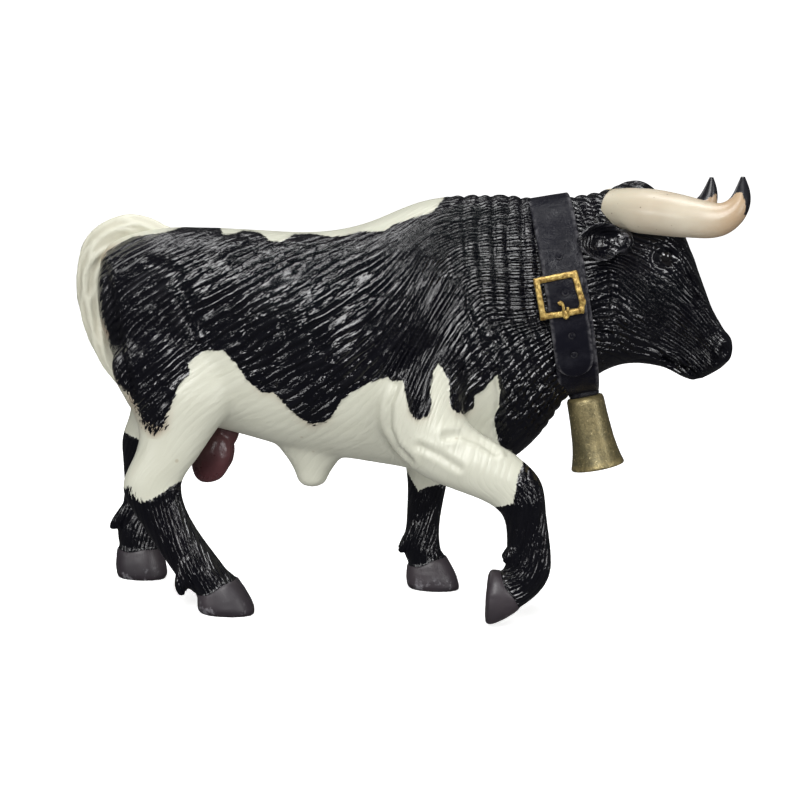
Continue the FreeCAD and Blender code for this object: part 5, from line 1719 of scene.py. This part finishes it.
class OX_OT_strap(bpy.types.Operator):
    """Makes the leather strap round the neck, its free end and its holes"""
    bl_idname = "ox.strap"
    bl_label = "Strap"

    def execute(self, context):
        settings = context.scene.ox_collar
        material = leather_paint(settings)
        thick = settings.strap_thickness
        turns = np.linspace(0, 2 * math.pi, 220, endpoint=False)
        band = rounded_strap(turns, settings.strap_width, -0.5, thick, True)
        turns = np.linspace(turn_at(TONGUE_START), turn_at(TONGUE_END), 70)
        tongue = rounded_strap(turns, settings.strap_width - 0.8, thick - 0.3, thick + TONGUE_THICK, False,
                               TONGUE_SHIFT, 3.6)
        points, faces = joined([band[:2], tongue[:2]])
        holes = []
        outward = []
        for height in HOLE_HEIGHTS:
            out = thick + (TONGUE_THICK if height < TONGUE_START else 0.0)
            turn = np.full(2, turn_at(height))
            one, two = on_neck(turn, np.full(2, TONGUE_SHIFT), np.array((out, out + 1.0)))
            holes.append(one)
            outward.append((two - one) / np.linalg.norm(two - one))
        for hole in holes:
            away = np.linalg.norm(points - hole, axis=1)
            near = away < 3.0
            points[near, 1] += 0.25 * np.exp(-(away[near] / 1.1) ** 2)
        dots = bpy.data.meshes.new("hole_places")
        dots.from_pydata([tuple(hole) for hole in holes], [], [])
        add_values(dots, "out", np.array(outward))
        rims = grown("strap_rims", eyelet_tree(), dots, {"Radius": 0.62, "Rim": 0.17, "Material": material})
        floors = joined([egg(hole - way * 0.05, (0.5, 0.16, 0.5), 0, 16)
                         for hole, way in zip(holes, outward)])
        points, faces = joined([(points, faces), rims, floors])
        edge = np.concatenate((band[2], tongue[2], np.full(len(rims[0]), 0.4), np.zeros(len(floors[0]))))
        points[:, 1] += grain_noise(points / 7.0, 41) * 0.08
        points[:, 2] += grain_noise(points / 6.0, 42) * 0.07
        make_piece("strap_leather", points, faces, [material], "collar_strap", {"edge": edge})
        return {"FINISHED"}


def side_out(x, z, off):
    """The near side's place off the neck at so far ahead and up, in the design frame."""
    away = np.array((x, 0.0, z)) - NECK_MIDDLE
    up = float(away @ NECK_UP)
    aside = NECK_WIDTH / 2 * math.sqrt(max(0.05, 1 - (up / (NECK_HEIGHT / 2)) ** 2)) + off
    return np.array((x, -aside, z))


class OX_OT_buckle(bpy.types.Operator):
    """Makes the buckle's frame and its prong"""
    bl_idname = "ox.buckle"
    bl_label = "Buckle"

    def execute(self, context):
        settings = context.scene.ox_collar
        material = gold_paint(settings)
        top = settings.strap_thickness + TONGUE_THICK
        shapes = []
        for (x1, z1), (x2, z2) in zip(FRAME_CORNERS, FRAME_CORNERS[1:] + FRAME_CORNERS[:1]):
            way = np.array((x2 - x1, 0.0, z2 - z1)) / math.hypot(x2 - x1, z2 - z1)
            across = np.cross(way, (0.0, 1.0, 0.0)) * 0.66
            rings = []
            for share in np.linspace(0, 1, 9):
                middle = side_out(x1 + (x2 - x1) * share, z1 + (z2 - z1) * share, top + 0.2)
                middle = middle + way * 0.6 * (2 * share - 1)
                rings.append(ring(middle, across, np.array((0.0, 0.62, 0.0)), 32, 0.0, 0.35))
            shapes.append(loft(rings))
        points, faces = moulded(shapes, 0.16, 3)
        points = roughened(points, faces, 1.0, 0.09, 51)
        make_piece("buckle_frame_bars", points, faces, [material], "buckle_frame")
        rows = [tuple(side_out(x, z, top + (0.95 if z > 67.9 else 0.7))) + (0.33,) for x, z in PRONG_LINE]
        hook = tube_through(rows, 70, 18)[0]
        knob = egg(side_out(33.4, 70.2, top + 0.8), (0.55, 0.42, 0.48), 20.0, 20)
        points, faces = moulded([hook, knob], 0.12, 3)
        make_piece("buckle_prong_hook", points, faces, [material], "buckle_prong")
        return {"FINISHED"}


def finely_stepped(profile, longest):
    """An outline's places with more between them, so that no step is much longer than the given one."""
    places = []
    for (down, wide), (next_down, next_wide) in zip(profile, profile[1:]):
        steps = max(1, int(math.hypot(next_down - down, next_wide - wide) / longest))
        for step in range(steps):
            share = step / steps
            places.append((down + (next_down - down) * share, wide + (next_wide - wide) * share))
    return places + [profile[-1]]


class OX_OT_bell(bpy.types.Operator):
    """Makes the bell and the leather loop that it hangs on"""
    bl_idname = "ox.bell"
    bl_label = "Bell"

    def execute(self, context):
        settings = context.scene.ox_collar
        down = np.array((math.sin(math.radians(BELL_LEAN)), 0.0, -math.cos(math.radians(BELL_LEAN))))
        side = np.array((0.0, 1.0, 0.0))
        front = np.cross(side, down)
        corners = 96
        rings = []
        rub = []
        outside = True
        for place, wide in finely_stepped(BELL_PROFILE, 0.7):
            rings.append(ring(BELL_TOP + down * place, front * wide, side * wide, corners))
            rub += [1.0 if place > 15.0 or (outside and place < 0.8 and wide > 3.0) else 0.0] * corners
            outside = outside and place < BELL_LIP
        points, faces = loft(rings)
        faces = turned_over(faces)
        points = roughened(points, faces, 4.5, 0.07, 61)
        edge = np.array(rub + [0.0, 0.0])
        make_piece("bell_shell", points, faces, [bronze_paint(settings)], "bell", {"edge": edge})
        rings = []
        for lift, size in LOOP_STEPS:
            rings.append(ring(BELL_TOP - down * lift, front * 3.35 * size, side * 2.7 * size, 64, 0.0, 0.7))
        points, faces = moulded([loft(rings)], 0.25, 3)
        points = roughened(points, faces, 0.9, 0.12, 62)
        leather = made("painted_leather", leather_paint, settings)
        edge = np.full(len(points), 0.25)
        make_piece("bell_loop_leather", points, faces, [leather], "bell_loop", {"edge": edge})
        return {"FINISHED"}


class OX_OT_stage(bpy.types.Operator):
    """Makes the pale floor, the soft lights and the camera"""
    bl_idname = "ox.stage"
    bl_label = "Stage"

    def execute(self, context):
        scene = context.scene
        points = []
        for back, height in FLOOR_LINE:
            points += [(-6.0, back, height), (6.0, back, height)]
        mesh = bpy.data.meshes.new("floor")
        mesh.from_pydata(points, [], [(i, i + 1, i + 3, i + 2) for i in range(0, len(points) - 2, 2)])
        mesh.materials.append(paper())
        mesh.polygons.foreach_set("use_smooth", np.ones(len(mesh.polygons), bool))
        floor = bpy.data.objects.new("floor", mesh)
        floor.visible_glossy = False
        floor.visible_diffuse = False
        scene.collection.objects.link(floor)
        world = bpy.data.worlds.new("studio")
        world.use_nodes = True
        world.node_tree.nodes["Background"].inputs["Color"].default_value = grey(1)
        world.node_tree.nodes["Background"].inputs["Strength"].default_value = 0.06
        scene.world = world
        for name, place, aim, width, depth, power in LIGHTS:
            light = bpy.data.lights.new(name, "AREA")
            light.shape = "RECTANGLE"
            light.size = width
            light.size_y = depth
            light.energy = power
            lamp = bpy.data.objects.new(name, light)
            lamp.location = place
            lamp.visible_camera = False
            lamp.visible_glossy = name != "low"
            lamp.rotation_euler = (Vector(aim) - Vector(place)).to_track_quat("-Z", "Y").to_euler()
            scene.collection.objects.link(lamp)
        right, up, ahead = photo_axes()
        camera = bpy.data.objects.new("camera", bpy.data.cameras.new("camera"))
        turned = Matrix(np.column_stack((right, up, -ahead)).tolist()).to_4x4()
        camera.matrix_world = Matrix.Translation(Vector((CAMERA_PLACE + FIGURE_SHIFT) * MM)) @ turned
        camera.data.lens = CAMERA_REACH / (2 * PICTURE_MIDDLE) * SENSOR_MM
        camera.data.sensor_width = SENSOR_MM
        camera.data.clip_start = 0.01
        scene.collection.objects.link(camera)
        scene.camera = camera
        scene.view_settings.view_transform = "Standard"
        return {"FINISHED"}


class OX_PT_panel(bpy.types.Panel):
    """Lists the figure's sizes, colours and pieces"""
    bl_label = "Ox figurine"
    bl_idname = "OX_PT_panel"
    bl_space_type = "VIEW_3D"
    bl_region_type = "UI"
    bl_category = "Ox"

    def draw(self, context):
        for group in (context.scene.ox_hide, context.scene.ox_horns, context.scene.ox_collar):
            box = self.layout.box()
            for name in group.__annotations__:
                box.prop(group, name)
        for operator in OPERATORS:
            self.layout.operator(operator.bl_idname)


OPERATORS = (OX_OT_hide, OX_OT_head, OX_OT_horns, OX_OT_ears, OX_OT_tail, OX_OT_scrotum, OX_OT_strap,
             OX_OT_buckle, OX_OT_bell, OX_OT_stage)
SETTINGS = {"ox_hide": OX_PG_hide, "ox_horns": OX_PG_horns, "ox_collar": OX_PG_collar}


def register():
    """Adds the settings, the operators and the panel."""
    for group in SETTINGS.values():
        bpy.utils.register_class(group)
    for name, group in SETTINGS.items():
        setattr(bpy.types.Scene, name, bpy.props.PointerProperty(type=group))
    for item in OPERATORS + (OX_PT_panel,):
        bpy.utils.register_class(item)


def unregister():
    """Takes them away again."""
    for item in (OX_PT_panel,) + OPERATORS[::-1]:
        bpy.utils.unregister_class(item)
    for name, group in SETTINGS.items():
        delattr(bpy.types.Scene, name)
        bpy.utils.unregister_class(group)


def main():
    """Builds the figure and its stage."""
    register()
    bpy.ops.ox.hide()
    bpy.ops.ox.head()
    bpy.ops.ox.horns()
    bpy.ops.ox.ears()
    bpy.ops.ox.tail()
    bpy.ops.ox.scrotum()
    bpy.ops.ox.strap()
    bpy.ops.ox.buckle()
    bpy.ops.ox.bell()
    bpy.ops.ox.stage()
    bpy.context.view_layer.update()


if __name__ == "__main__":
    main()
